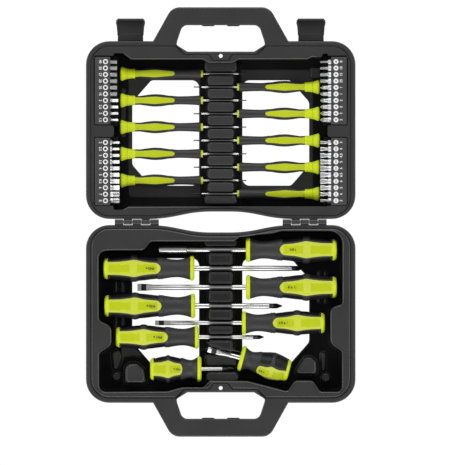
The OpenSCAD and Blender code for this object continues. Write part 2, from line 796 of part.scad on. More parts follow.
module cross_shank(at, l, r, shank_r, seat) {
    shank(at, l, r, shank_r, seat, 2 * shank_r + 1)
        intersection() {
            flutes(seat + at[3], shank_r);
            difference() {
                cylinder(r = 4 * shank_r, h = 2 * (seat + at[3]));
                for (a = [0, 90])
                    rotate(a)
                        translate([-0.5, -4 * shank_r, 0])
                            cube([1, 8 * shank_r, 2 * (seat + at[3])]);
            }
        }
}

// A flat blade: the shank runs into a plate that widens to tip_w and thins to 1 mm
module flat_shank(at, l, r, shank_r, seat, tip_w) {
    end = seat + at[3];
    color([0.75, 0.75, 0.77])
    lay(at, handle_z(r))
        translate([0, 0, l - seat]) {
            turned([[0, shank_r], [end - 16, shank_r], [end - 10, shank_r * 0.35]]);
            intersection() {
                rotate([90, 0, 0])
                    linear_extrude(2 * tip_w, center = true)
                        polygon([[-shank_r * 0.8, end - 17], [shank_r * 0.8, end - 17], [0.5, end - 2],
                                 [0.5, end], [-0.5, end], [-0.5, end - 2]]);
                rotate([90, 0, 90])
                    linear_extrude(2 * tip_w, center = true)
                        polygon([[-shank_r * 0.5, end - 17], [shank_r * 0.5, end - 17],
                                 [tip_w / 2, end - 9], [tip_w / 2, end],
                                 [-tip_w / 2, end], [-tip_w / 2, end - 9]]);
            }
        }
}

module long_phillips_handle() { large_handle(long_phillips_at, big_l, big_r, big_shank_r, blade_seat); }
module long_phillips_blade() { cross_shank(long_phillips_at, big_l, big_r, big_shank_r, blade_seat); }
module phillips_handle() { large_handle(phillips_at, big_l, big_r, big_shank_r, blade_seat); }
module phillips_blade() { cross_shank(phillips_at, big_l, big_r, big_shank_r, blade_seat); }
module small_phillips_handle() {
    large_handle(small_phillips_at, small_l, small_r, small_shank_r, blade_seat);
}
module small_phillips_blade() {
    cross_shank(small_phillips_at, small_l, small_r, small_shank_r, blade_seat);
}
module stubby_phillips_handle() {
    large_handle(stubby_phillips_at, stubby_l, stubby_r, small_shank_r, stubby_seat);
}
module stubby_phillips_blade() {
    cross_shank(stubby_phillips_at, stubby_l, stubby_r, small_shank_r, stubby_seat);
}
module bit_holder_handle() { large_handle(bit_holder_at, big_l, big_r, big_shank_r, blade_seat); }

// The bit holder's shaft ends in a sleeve with a hexagonal socket for one bit
module bit_holder_shaft() {
    end = blade_seat + bit_holder_at[3];
    color([0.75, 0.75, 0.77])
    lay(bit_holder_at, handle_z(big_r))
        translate([0, 0, big_l - blade_seat])
            difference() {
                turned([[0, big_shank_r], [end - holder_l, big_shank_r], [end - holder_l, holder_r - 0.6],
                        [end - holder_l + 0.6, holder_r], [end - 0.6, holder_r], [end, holder_r - 0.4]]);
                translate([0, 0, end - socket_deep])
                    hex_bar(socket_af, socket_deep + over);
            }
}

module long_slotted_handle() { large_handle(long_slotted_at, big_l, big_r, big_shank_r, blade_seat); }
module long_slotted_blade() {
    flat_shank(long_slotted_at, big_l, big_r, big_shank_r, blade_seat, wide_tip);
}
module slotted_handle() { large_handle(slotted_at, small_l, small_r, small_shank_r, blade_seat); }
module slotted_blade() {
    flat_shank(slotted_at, small_l, small_r, small_shank_r, blade_seat, narrow_tip);
}
module stubby_slotted_handle() {
    large_handle(stubby_slotted_at, stubby_l, stubby_r, big_shank_r, stubby_seat);
}
module stubby_slotted_blade() {
    flat_shank(stubby_slotted_at, stubby_l, stubby_r, big_shank_r, stubby_seat, stubby_tip);
}

base_shell();
lid_shell();
hinge_pins();
latch_left();
latch_right();
rack(-1, rack_front_y);  // rack_upper_left
rack(1, rack_front_y);  // rack_upper_right
rack(-1, rack_rear_y);  // rack_lower_left
rack(1, rack_rear_y);  // rack_lower_right
bits(-1, rack_front_y, upper_left_bits, 4);  // bits_upper_left
bits(1, rack_front_y, upper_right_bits, bit_count);  // bits_upper_right
bits(-1, rack_rear_y, lower_left_bits, bit_count);  // bits_lower_left
bits(1, rack_rear_y, lower_right_bits, bit_count);  // bits_lower_right
for (n = [1:prec_n]) {
    precision_cap(n);
    precision_handle(n);
    precision_blade(n);
}
long_phillips_handle();
long_phillips_blade();
phillips_handle();
phillips_blade();
small_phillips_handle();
small_phillips_blade();
stubby_phillips_handle();
stubby_phillips_blade();
bit_holder_handle();
bit_holder_shaft();
long_slotted_handle();
long_slotted_blade();
slotted_handle();
slotted_blade();
stubby_slotted_handle();
stubby_slotted_blade();
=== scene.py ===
# Hard tool case lying open flat, with its screwdrivers, precision drivers and bit racks
import bpy
import bmesh
import math
import numpy as np
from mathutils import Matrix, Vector
from mathutils.geometry import tessellate_polygon


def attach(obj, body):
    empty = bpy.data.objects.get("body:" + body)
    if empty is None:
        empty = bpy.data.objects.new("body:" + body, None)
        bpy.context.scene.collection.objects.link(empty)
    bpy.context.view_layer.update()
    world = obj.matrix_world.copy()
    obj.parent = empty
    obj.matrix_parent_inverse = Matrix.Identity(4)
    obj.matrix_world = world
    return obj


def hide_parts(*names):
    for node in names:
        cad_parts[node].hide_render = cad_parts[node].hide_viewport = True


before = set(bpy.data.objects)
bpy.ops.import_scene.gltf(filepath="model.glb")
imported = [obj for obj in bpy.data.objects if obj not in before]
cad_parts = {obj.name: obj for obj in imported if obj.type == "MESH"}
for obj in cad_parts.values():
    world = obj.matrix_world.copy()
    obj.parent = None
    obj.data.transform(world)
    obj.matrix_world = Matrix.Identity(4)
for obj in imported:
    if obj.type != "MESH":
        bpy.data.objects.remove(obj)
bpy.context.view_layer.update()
mm = 0.001  # everything below is drawn in millimetres and written in metres
print("frame loaded", len(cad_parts), "nodes")


def rounded(points, steps=6):
    # each corner [x, y, r] becomes an arc of radius r that touches both of its sides
    out = []
    for i, (bx, by, r) in enumerate(points):
        a, b = np.array(points[i - 1][:2]), np.array([bx, by])
        c = np.array(points[(i + 1) % len(points)][:2])
        if r == 0:
            out.append(b)
            continue
        u, v = (a - b) / np.linalg.norm(a - b), (c - b) / np.linalg.norm(c - b)
        half = math.acos(np.clip(u @ v, -1, 1)) / 2
        centre = b + (u + v) / np.linalg.norm(u + v) * r / math.sin(half)
        p, q = b + u * r / math.tan(half) - centre, b + v * r / math.tan(half) - centre
        turn = math.atan2(p[0] * q[1] - p[1] * q[0], p @ q)
        angle = math.atan2(p[1], p[0]) + turn * np.linspace(0, 1, steps + 1)
        out.extend(centre + r * np.stack([np.cos(angle), np.sin(angle)], axis=1))
    return np.array(out, dtype=float)


def inset(loop, d):
    # every corner moves along its mitre so that both of its sides go in by d
    u = loop - np.roll(loop, 1, axis=0)
    u /= np.linalg.norm(u, axis=1, keepdims=True)
    v = np.roll(u, -1, axis=0)
    n1, n2 = np.stack([-u[:, 1], u[:, 0]], 1), np.stack([-v[:, 1], v[:, 0]], 1)
    return loop + (n1 + n2) / (1 + np.sum(n1 * n2, axis=1, keepdims=True)) * d


def quarter(r, steps=4):
    # points of a quarter circle of radius r, as (how far in, how far up) from its lower outer corner
    a = np.linspace(0, math.pi / 2, steps + 1)
    return np.column_stack([r - r * np.cos(a), r * np.sin(a)])


def level(loop, z):
    # an outline at a height, or each of its points at its own
    return np.column_stack([loop, np.full(len(loop), z)])


def circle(x, y, r, steps=24):
    # r is one radius, or one for each step
    a = np.linspace(0, 2 * math.pi, steps, endpoint=False)
    return np.column_stack([x + r * np.cos(a), y + r * np.sin(a)])


def box(x0, x1, y0, y1, r=0.0, steps=4):
    return rounded([[x0, y0, r], [x1, y0, r], [x1, y1, r], [x0, y1, r]], steps)


def smooth(t):
    t = np.clip(t, 0, 1)
    return t * t * (3 - 2 * t)


def bump(s, low, high, edge):
    # one between low and high, easing to nothing within edge
    return smooth((s - low) / edge) * smooth((high - s) / edge)


def curve(points):
    # a smooth function through (place, value) points that never swings past them: a cubic between
    # each two, whose slope at a point is the harmonic mean of the slopes on its two sides
    x, y = np.transpose(np.array(points, dtype=float))
    d = np.diff(y) / np.diff(x)
    m = np.zeros(len(x))
    m[0], m[-1] = d[0], d[-1]
    same = d[:-1] * d[1:] > 0
    m[1:-1][same] = 2 * d[:-1][same] * d[1:][same] / (d[:-1] + d[1:])[same]

    def value(at):
        at = np.clip(at, x[0], x[-1])
        i = np.clip(np.searchsorted(x, at, side="right") - 1, 0, len(x) - 2)
        h = x[i + 1] - x[i]
        t = (at - x[i]) / h
        return ((1 + 2 * t) * (1 - t) ** 2 * y[i] + t * (1 - t) ** 2 * h * m[i]
                + t * t * (3 - 2 * t) * y[i + 1] + t * t * (t - 1) * h * m[i + 1])
    return value


def newObject(name, data):
    obj = bpy.data.objects.new(name, data)
    bpy.context.scene.collection.objects.link(obj)
    return obj


def evaluatedMesh(obj):
    bpy.context.view_layer.update()
    return bpy.data.meshes.new_from_object(obj.evaluated_get(bpy.context.evaluated_depsgraph_get()))


class Body:
    # gathers patches of one piece, then welds them into a mesh
    def __init__(self):
        self.verts, self.faces, self.slots, self.count = [], [], [], 0

    def add(self, points, faces, slot=0):
        points = np.asarray(points, dtype=float).reshape(-1, 3)
        self.verts.append(points)
        self.faces.extend([int(i) + self.count for i in f] for f in faces)
        self.slots.extend([slot] * len(faces) if np.isscalar(slot) else list(slot))
        self.count += len(points)

    def grid(self, points, wrap=False, slot=0):
        # quads between neighbouring rows and columns of an array of points
        rows, cols = points.shape[:2]
        k = np.arange(rows * cols).reshape(rows, cols)
        if wrap:
            k = np.concatenate([k, k[:, :1]], axis=1)
        quads = np.stack([k[:-1, :-1], k[:-1, 1:], k[1:, 1:], k[1:, :-1]], axis=-1).reshape(-1, 4)
        self.add(points, quads, slot)

    def wall(self, loop, section, slot=0):
        # a closed outline carried through a section of (inset, height) pairs
        rows = [level(inset(loop, d), z) for d, z in section]
        self.grid(np.array(rows), wrap=True, slot=slot)
        return rows[0][:, :2], rows[-1][:, :2]

    def flat(self, outer, z, holes=(), slot=0):
        # a level face inside an outline and outside its holes
        loops = []
        for loop in (outer, *holes):
            step = np.linalg.norm(loop - np.roll(loop, 1, axis=0), axis=1)
            loops.append(loop[step > 1e-4])
        tris = tessellate_polygon([[Vector((x, y, 0)) for x, y in loop] for loop in loops])
        points = np.concatenate(loops)
        self.add(level(points, z), tris, slot)

    def block(self, loop, section, slot=0):
        # a closed solid: a wall with a level face at both ends
        first, last = self.wall(loop, section, slot)
        self.flat(first, section[0][1], slot=slot)
        self.flat(last, section[-1][1], slot=slot)

    def cap(self, ring, slot=0):
        self.add(ring, [range(len(ring))], slot)

    def loft(self, rows, slot=0):
        # a closed solid through rings of points, with a face on the first and the last ring
        rows = np.asarray(rows)
        self.grid(rows, wrap=True, slot=slot)
        self.cap(rows[0], slot)
        self.cap(rows[-1], slot)

    def piece(self, name, materials, move=None, sharp=35):
        points = np.concatenate(self.verts)
        if move is not None:
            points = move(points)
        mesh = bpy.data.meshes.new(name)
        mesh.from_pydata((points * mm).tolist(), [], self.faces)
        for m in materials:
            mesh.materials.append(m)
        mesh.polygons.foreach_set("material_index", self.slots)
        work = bmesh.new()
        work.from_mesh(mesh)
        bmesh.ops.remove_doubles(work, verts=work.verts, dist=2e-6)
        bmesh.ops.dissolve_degenerate(work, edges=work.edges, dist=1e-7)
        bmesh.ops.recalc_face_normals(work, faces=work.faces)
        work.to_mesh(mesh)
        work.free()
        finishMesh(mesh, sharp)
        return newObject(name, mesh)


def finishMesh(mesh, sharp=35):
    mesh.polygons.foreach_set("use_smooth", [True] * len(mesh.polygons))
    mesh.set_sharp_from_angle(angle=math.radians(sharp))


def carve(obj, loop, z0, z1, move):
    # cuts a straight pocket out of a closed piece
    cutter = Body()
    cutter.block(loop, [(0, z0), (0, z1)])
    tool = cutter.piece("cutter", [], move)
    cut = obj.modifiers.new("cut", "BOOLEAN")
    cut.operation, cut.solver, cut.object = "DIFFERENCE", "EXACT", tool
    mesh = evaluatedMesh(obj)
    obj.modifiers.clear()
    obj.data = mesh
    bpy.data.objects.remove(tool)
    finishMesh(mesh)


def place(obj, body, slot, *nodes):
    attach(obj, body)
    if nodes:
        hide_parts(*nodes)


def fill(node, values):
    for name, value in values.items():
        node.inputs[name].default_value = value


def newMaterial(name, colour, rough, metal=0.0, gloss=0.5):
    m = bpy.data.materials.new(name)
    m.use_nodes = True
    shader = m.node_tree.nodes["Principled BSDF"]
    fill(shader, {"Base Color": (*colour, 1), "Roughness": rough, "Metallic": metal,
                  "Specular IOR Level": gloss})
    return m, m.node_tree, shader


def noise(tree, scale, detail=3.0, stretch=(1, 1, 1)):
    nodes, links = tree.nodes, tree.links
    where = nodes.new("ShaderNodeTexCoord")
    mapping = nodes.new("ShaderNodeMapping")
    fill(mapping, {"Scale": stretch})
    tex = nodes.new("ShaderNodeTexNoise")
    fill(tex, {"Scale": scale, "Detail": detail})
    links.new(where.outputs["Object"], mapping.inputs["Vector"])
    links.new(mapping.outputs["Vector"], tex.inputs["Vector"])
    return tex.outputs["Fac"]


def ramp(tree, fac, low, high, colours):
    node = tree.nodes.new("ShaderNodeValToRGB")
    for stop, at, colour in zip(node.color_ramp.elements, (low, high), colours):
        stop.position, stop.color = at, (*colour, 1)
    tree.links.new(fac, node.inputs["Fac"])
    return node.outputs["Color"]


def spread(tree, fac, low, high):
    node = tree.nodes.new("ShaderNodeMapRange")
    fill(node, {"To Min": low, "To Max": high})
    tree.links.new(fac, node.inputs["Value"])
    return node.outputs["Result"]


def relief(tree, shader, height, strength, depth):
    node = tree.nodes.new("ShaderNodeBump")
    fill(node, {"Strength": strength, "Distance": depth})
    tree.links.new(height, node.inputs["Height"])
    tree.links.new(node.outputs["Normal"], shader.inputs["Normal"])


def plastic(name, dark, light, rough, grain=2600, strength=0.25, gloss=0.5):
    # fine moulded grain, with a cloudy change of tone and gloss over the surface
    m, tree, shader = newMaterial(name, light, rough, 0.0, gloss)
    tree.links.new(ramp(tree, noise(tree, 24, 4), 0.3, 0.7, (dark, light)), shader.inputs["Base Color"])
    tree.links.new(spread(tree, noise(tree, 60, 5), rough - 0.06, rough + 0.08), shader.inputs["Roughness"])
    relief(tree, shader, noise(tree, grain, 2), strength, 0.00012)
    return m


def steel(name, dark, light, rough, stretch):
    # drawn or ground metal: streaks along the piece in tone, gloss and height
    m, tree, shader = newMaterial(name, light, rough, 1.0)
    streak = noise(tree, 900, 3, stretch)
    tree.links.new(ramp(tree, streak, 0.3, 0.7, (dark, light)), shader.inputs["Base Color"])
    tree.links.new(spread(tree, noise(tree, 150, 4), rough * 0.7, rough * 1.4), shader.inputs["Roughness"])
    relief(tree, shader, streak, 0.12, 0.00004)
    return m


finish = {
    "shell": plastic("shellPlastic", (0.030,) * 3, (0.038,) * 3, 0.36, gloss=0.55),
    # the tray material is the shell's own plastic made near black: painted shade for the tray walls,
    # channels and floors
    "tray": plastic("trayPaintedShade", (0.006,) * 3, (0.010,) * 3, 0.5, gloss=0.12),
    # the spine material is the shell's plastic made darker: painted shade on the base's spine blocks
    "spine": plastic("spinePaintedShade", (0.011,) * 3, (0.016,) * 3, 0.36, gloss=0.45),
    "latch": plastic("latchPlastic", (0.028,) * 3, (0.036,) * 3, 0.34, 2000, gloss=0.5),
    "rack": plastic("rackPlastic", (0.050, 0.050, 0.051), (0.060, 0.060, 0.061), 0.45, 2400),
    "lime": plastic("limePlastic", (0.68, 0.83, 0.007), (0.73, 0.87, 0.010), 0.36, 1500, 0.08, 0.3),
    "panel": plastic("limePanel", (0.62, 0.71, 0.05), (0.68, 0.76, 0.07), 0.42, 1500, 0.08, 0.3),
    # the pad material is a darker lime: painted shade in the pads let into the large handles' panels, and
    # the plain colour of the precision handles' panels
    "padShadeAndThinPanel": plastic("limePadShadeAndThinPanel", (0.52, 0.62, 0.008), (0.57, 0.66, 0.012), 0.38, 1500, 0.08, 0.3),
    "grip": plastic("gripRubber", (0.026, 0.026, 0.028), (0.034, 0.034, 0.036), 0.5, 1900, 0.35),
    # the scoop material is the grip rubber made near black: painted shade in the finger scoops
    "scoopShade": plastic("scoopPaintedShade", (0.007, 0.007, 0.008), (0.011, 0.011, 0.012), 0.42, 1900, 0.3,
                            0.3),
    "print": plastic("whitePrint", (0.86,) * 3, (0.94,) * 3, 0.6, 1800, 0.1),
    "mark": plastic("blackPrint", (0.02,) * 3, (0.03,) * 3, 0.6, 1800, 0.1),
    "chrome": steel("bladeChrome", (0.74, 0.74, 0.75), (0.88, 0.88, 0.89), 0.3, (0.05, 1, 1)),
    "tip": steel("blackTip", (0.03, 0.03, 0.032), (0.07, 0.07, 0.072), 0.35, (0.2, 1, 1)),
    "bit": steel("bitSteel", (0.50, 0.50, 0.51), (0.72, 0.72, 0.73), 0.42, (0.4, 1, 1)),
    "pin": steel("pinSteel", (0.45, 0.45, 0.46), (0.6, 0.6, 0.61), 0.3, (0.05, 1, 1)),
}
print("materials made")

# both half shells, seen from inside, with y counted from the hinge line
shell = {
    "halfW": 155, "length": 208, "rim": 33, "land": 32, "tab": 28, "rearGap": 3.5, "waist": 12,
    "cornerR": 27, "rimR": 1.6, "floor": 3, "grooveFloor": 30.8, "grooveW": 1.2, "holeRear": 196,
    "tabHalf": 11, "tabRear": 185.2, "lockY": 191, "lockR": 2.25, "thin": 0.15,
    "hingeX": 96.5, "hingeL": 51, "hingeZ": 33.25, "knuckleR": 3, "knuckleGap": 0.4, "webY": 5.5,
}


def mirrored(half):
    # an outline's right half, then the same points back along the left
    return half + [[-x, y, r] for x, y, r in half[::-1]]


halfW, caseL, cornerR, rearGap, tabHalf = (
    shell[k] for k in ("halfW", "length", "cornerR", "rearGap", "tabHalf"))
rightSide = [
    [26, shell["waist"], 150], [68, rearGap, 150], [halfW, rearGap, cornerR], [halfW, caseL, cornerR],
    [50.2, caseL, 0], [51.4, 204.2, 3], [38.5, shell["holeRear"], 3], [tabHalf, shell["holeRear"], 0]]
outlineTop = rounded(mirrored(rightSide), 10)
# below the tab the outline steps back round the lock hole's pocket
outlineLow = rounded(mirrored(rightSide + [[tabHalf, shell["tabRear"], 0]]), 10)
grooveLine = rounded(mirrored([
    [26, 15, 150], [68, 6.5, 150], [150, 6.5, 22], [150, 203, 22], [51.5, 203, 4], [41.5, 193, 4],
    [13, 193, 3.2], [8, 186, 2]]), 8)
windowLine = rounded([
    [25, 42, 8.5], [81, 42, 6], [102, 66, 8], [102, 138.5, 8], [80, 163.5, 6], [25, 163.5, 8.5]], 8)
handleLine = rounded(mirrored([[44, 226.5, 8], [51.45, 204, 0], [80, 204, 0], [56, 247, 15]]), 8)
# each half's tray, how far its wall leans in, the radius at its foot, and the raised middle of its floor
trays = {
    "base": {
        "line": rounded([
            [-140.6, 33, 9], [-121, 32.4, 20], [-89, 32.4, 6], [-80.5, 22.2, 6], [15, 22.2, 4],
            [22.5, 16.4, 4], [60, 13, 8], [70, 10.2, 8], [140.2, 10.2, 15], [140.2, 94.8, 4],
            [126.3, 98.8, 8], [126.3, 139.8, 9], [139.6, 149, 5], [139.6, 195.4, 6], [114.5, 195.4, 5],
            [106, 182.7, 6], [85.5, 182.7, 6], [77, 195.2, 5], [31, 183.2, 10], [-12, 182.6, 3.2],
            [-20.5, 190.4, 3.6], [-45, 190.4, 12], [-61, 195, 12], [-140.1, 195.6, 8], [-140.1, 151, 6],
            [-126, 141.5, 8], [-126, 120.5, 8], [-140.4, 113.6, 6]], 6),
        "lean": 1.2, "foot": 2.0, "deck": None, "seal": 0.35},
    "lid": {
        "line": rounded([
            [-123.3, 13.8, 2], [-112.6, 13.8, 3], [-106.5, 17.6, 4], [121, 17.6, 3], [124, 18.4, 3],
            [146, 18.4, 1.8], [146, 98, 1.8], [123.3, 98, 2.5], [123.3, 111, 2.5], [146, 111, 1.8],
            [146, 191.5, 1.8], [123.3, 191.5, 0.8], [123.3, 193.8, 1.3], [117.2, 193.8, 1.7],
            [116.6, 189.8, 2.2], [105, 189.8, 5], [99.5, 187.2, 5], [20.7, 187, 4], [13.5, 183, 4],
            [-13.5, 183, 4], [-20.7, 187, 4], [-103, 187, 6], [-112.8, 194.4, 4], [-123.3, 194.4, 1.8],
            [-123.3, 191.5, 0.8], [-146, 191.5, 1.8], [-146, 111, 1.8], [-123.3, 111, 2.5],
            [-123.3, 98, 2.5], [-146, 98, 1.8], [-146, 18.4, 1.8], [-123.3, 18.4, 1.5]], 6),
        "lean": 0.5, "foot": 0.7, "deck": box(-106.5, 106.5, 28.6, 175.6, 5), "deckUp": 0.6,
        "deckHalf": 106, "seal": 0},
}
# the bead along a tray's brim, as (how far in, how far up) from the brim
beadSection = ((-2.2, 0), (-2.1, 0), (-1.7, -0.4), (-1.0, 0.2), (-0.65, 0.35), (0.0, -0.1), (0.2, -0.6))


def lowRow(d, z):
    # the underside draws in by d, but the walls of the finger hole stay upright
    row = inset(outlineLow, d)
    notch = (np.abs(outlineLow[:, 0]) < 52) & (outlineLow[:, 1] > 184)
    side = outlineLow[notch & (outlineLow[:, 0] > 30)]
    side = side[np.argsort(side[:, 1])]
    y = np.minimum(outlineLow[:, 1], caseL - d)
    row[notch] = outlineLow[notch]
    high = notch & (y < outlineLow[:, 1])
    row[high, 0] = np.sign(outlineLow[high, 0]) * np.interp(y[high], side[:, 1], side[:, 0])
    row[high, 1] = y[high]
    return level(row, z)


def shellSkin(tray):
    # rim, seal groove, land, tray, windows, outer walls and underside as one closed skin
    b = Body()
    rim, land, floor, thin = shell["rim"], shell["land"], shell["floor"], shell["thin"]
    rimR = shell["rimR"]
    edge = [(d, rim - rimR + up) for d, up in quarter(rimR)[::-1]]
    rimEdge, _ = b.wall(outlineTop, [(rimR + thin, rim), *edge, (0, shell["tab"])])
    groove, seal = shell["grooveW"], tray["seal"]
    inner, landEdge = b.wall(grooveLine, [
        (-0.5 - thin, rim), (-0.5, rim), (-0.15, rim - 0.15), (0, rim - 0.5), (0.05, shell["grooveFloor"]),
        (groove - 0.05, shell["grooveFloor"]), (groove, land - 0.4), (groove + 0.12, land - 0.1 + seal),
        (groove + 0.5, land + 0.1 + 1.4 * seal), (groove + 1.3, land + seal * 0.2), (groove + 1.5, land),
        (groove + 1.5 + thin, land)])
    lock = circle(0, shell["lockY"], shell["lockR"])
    lockTop, lockLow = b.wall(lock, [
        (-0.4 - thin, rim), (-0.4, rim), (-0.1, rim - 0.1), (0, rim - 0.4), (0, shell["tab"])])
    b.flat(rimEdge, rim, [inner, lockTop])
    # the brim's bead narrows and fades out where the racks stand close to the wall
    line, lean, foot = tray["line"], tray["lean"], quarter(tray["foot"])
    bead = np.ones(len(line))
    if tray["deck"] is not None:
        bead = 1 - smooth((np.abs(line[:, 0]) - tray["deckHalf"]) / 8)
    reach = (0.12 + 0.88 * bead)[:, None]
    rows = []
    for d, up in beadSection:
        out = d * reach if d < 0 else d
        rows.append(level(inset(line, out), land + (up * bead if up > -0.5 else up)))
    b.grid(np.array(rows), wrap=True)
    # the tray's wall takes slot 1, the tray material: painted shade
    _, floorEdge = b.wall(line, [
        (0.2, land - 0.6), (0.3, land - 1.4), (0.4, land - 3),
        *[(lean + d, floor + tray["foot"] - z) for d, z in foot], (lean + tray["foot"] + thin, floor)], 1)
    b.flat(landEdge, land, [rows[0][:, :2]])
    b.flat(box(-tabHalf, tabHalf, shell["tabRear"], shell["holeRear"]), shell["tab"], [lockLow])
    low = [(0, shell["tab"]), (0, 7), (0.3, 4.6), (1.1, 2.6), (2.6, 1.0), (4.6, 0.2), (6, 0), (6.2, 0)]
    under = np.array([lowRow(d, z) for d, z in low])
    b.grid(under, wrap=True)
    # the base's whole floor, and on the lid the channel round the step, take slot 1 as painted shade; the
    # lid's step keeps the shell's tone
    deck, deckEdge, deckSlot = floor, floorEdge, 1
    if tray["deck"] is not None:
        # a step round the middle of the floor
        deck, deckSlot = floor + tray["deckUp"], 0
        foothold, deckEdge = b.wall(tray["deck"], [
            (-0.3 - thin, floor), (-0.3, floor), (0, floor + 0.25), (0.25, deck - 0.1), (0.8, deck),
            (0.95, deck)])
        b.flat(floorEdge, floor, [foothold], 1)
    upper, lower = [], []
    for loop in (windowLine, windowLine[::-1] * np.array([-1, 1])):
        up, down = b.wall(loop, [
            (-1.1 - thin, deck), (-1.1, deck), (-0.4, 2.7), (0, 1.9), (0, 1.1), (-0.4, 0.3), (-1.1, 0),
            (-1.1 - thin, 0)])
        upper.append(up)
        lower.append(down)
    b.flat(deckEdge, deck, upper, deckSlot)
    b.flat(under[-1][:, :2], 0, lower)
    return b


def mound(b, loop, z0, z1, brim=1.5, foot=2.0, draft=1.0, slot=0):
    # a raised block with leaning walls, a hollow round at its foot and a rounded top edge
    f, t = quarter(foot), quarter(brim)
    b.block(loop, [
        (-foot - 0.1, z0 - 0.5),
        *[(up - foot, z0 + out) for out, up in f],
        *[(draft + d, z1 - brim + z) for d, z in t],
        (draft + brim + shell["thin"], z1)], slot)


handle = {"top": 32.98, "topR": 1.9, "lowR": 6, "foot": 17, "lugX": 14.5}


def handleGrip(b):
    # its half of the carrying handle: a rounded top edge, and a large radius for the fingers below
    top, low = quarter(handle["topR"]), quarter(handle["lowR"], 6)
    b.block(handleLine, [
        (handle["topR"] + shell["thin"], handle["top"]),
        *[(d, handle["top"] - handle["topR"] + z) for d, z in top[::-1]],
        *[(d, handle["foot"] + handle["lowR"] - z) for d, z in low], (6.2, handle["foot"])])
    for x in (-handle["lugX"], handle["lugX"]):
        b.block(rounded([[x - 9, 228, 0], [x - 6.5, 225.3, 2.5], [x + 6.5, 225.3, 2.5], [x + 9, 228, 0]], 5),
                [(0.5, 32.6), (0.1, 32.1), (0, 31), (0, 22), (0.4, 20.5), (1, 19.5)])


def knuckles(b, numbers):
    # round barrels on the hinge line, each with a web to the shell's rear wall
    t = np.radians(np.linspace(-90, -364.8, 28))
    r = shell["knuckleR"]
    ring = np.column_stack([r * np.cos(t), r * np.sin(t)])
    ring = np.concatenate([ring, [[shell["webY"], -0.25], [shell["webY"], -r]]])
    step = shell["hingeL"] / 5
    for side in (-1, 1):
        for k in numbers:
            x0 = side * shell["hingeX"] - shell["hingeL"] / 2 + k * step + shell["knuckleGap"] / 2
            x1 = x0 + step - shell["knuckleGap"]
            rows = [[[x, y * f, shell["hingeZ"] + z * f] for y, z in ring]
                    for x, f in ((x0, 0.93), (x0 + 0.2, 1), (x1 - 0.2, 1), (x1, 0.93))]
            b.loft(rows)


def blocksBetween(slots, rear, front):
    # the stretches of a spine that its blade slots leave standing
    edges = [rear, *(y + side * gap for y, gap in slots for side in (-1, 1)), front]
    return list(zip(edges[::2], edges[1::2]))


# plateau and bar: rear, front and top; slots: place and half width; slant: where the last block's
# front is trimmed along the blade that crosses it
# shade: the slot of the blocks' material; slot 2, the spine material, is painted shade on the base's blocks
spines = {
    "lid": {"plateau": (17, 184, 5.4), "bar": (21, 182, 9.8), "top": 20, "halfW": 14.9, "barHalf": 17.6,
            "slots": [(32.4 + 15.4 * k, 1.9) for k in range(10)], "ends": (20, 186), "wide": 18.2,
            "slant": None, "shade": 0},
    "base": {"plateau": (20, 150, 8), "bar": (33, 150.5, 15.3), "top": 28, "halfW": 14, "barHalf": 17.6,
             "slots": [(31.9, 3.8), (53.4, 3.8), (75.2, 3.8), (96.7, 3.8), (116.2, 3.3), (132.6, 3.3)],
             "ends": (19.5, 149.3), "wide": 18.5, "slant": 142.5, "shade": 2},
}


def spineRidge(b, spine):
    rear, front, z = spine["plateau"]
    # the plateau and the bar take slot 1, the tray material: painted shade
    mound(b, box(-23.9, 23.9, rear, front, 3), shell["floor"], z, 1.2, 0.9, 0.3, 1)
    rear, front, zBar = spine["bar"]
    mound(b, box(-spine["barHalf"], spine["barHalf"], rear, front, 4), z, zBar, 1.4, 0.8, 0.6, 1)
    rows = blocksBetween(spine["slots"], *spine["ends"])
    for i, (low, high) in enumerate(rows):
        last = i == len(rows) - 1
        atWall = i == 0 or (last and spine["slant"] is None)
        half = spine["wide"] if atWall else spine["halfW"]
        loop = box(-half, half, low, high, 3.2, 6)
        if last and spine["slant"] is not None:
            loop = rounded([[-half, low, 3.2], [half, low, 3.2], [half, high, 2.1], [11, high, 2.1],
                            [-half, spine["slant"], 2.2]], 6)
        # the blocks take the spine's shade slot, painted shade on the base
        mound(b, loop, zBar, spine["top"] - (4 if atWall else 0), 1.3, 0.3, 0.5, spine["shade"])
        if not atWall:
            # the block's top is let in a little behind its brim
            b.wall(inset(loop, 2.2), [(0, spine["top"]), (0.35, spine["top"] + 0.12), (0.8, spine["top"])])


def shrunk(loop, share):
    centre = (loop.min(axis=0) + loop.max(axis=0)) / 2
    return centre + (loop - centre) * share


def rest(b, line, z):
    # a rest with a raised brim all round
    mound(b, line, shell["floor"], z, 1.4, 2, 0.8)
    rows = [level(shrunk(line, share), z + up) for share, up in (
        (0.86, -0.3), (0.84, 0.35), (0.80, 0.5), (0.74, 0.1), (0.72, -0.3))]
    b.grid(np.array(rows), wrap=True)


def lidParts(b):
    for y in (177.8, 24.7):
        b.block(box(-10.5, 10.5, y - 0.5, y + 0.5, 0.4), [(0, 15), (0, 16.2), (0.35, 16.4)])
    # the shelves that the racks stand on, in slot 1, the tray material: painted shade
    for x0, x1 in ((-147, -118.3), (118.3, 147)):
        for rear, front in ((18.2, 98.2), (110.8, 191.7)):
            b.block(box(x0, x1, rear, front, 1),
                    [(-0.5, 2.5), (0, 3), (0, 16.2), (0.25, 16.75), (0.8, 17)], 1)
    # a pad beside the second driver's cap, and a low one under the first driver's neck
    mound(b, box(103.4, 115.5, 165.2, 178.7, 3), shell["floor"], 6.5, 1.2, 0.8, 0.3)
    mound(b, box(-114.5, -110, 98, 154, 1.5), shell["floor"], 3.2, 0.1, 0.1, 0.05)


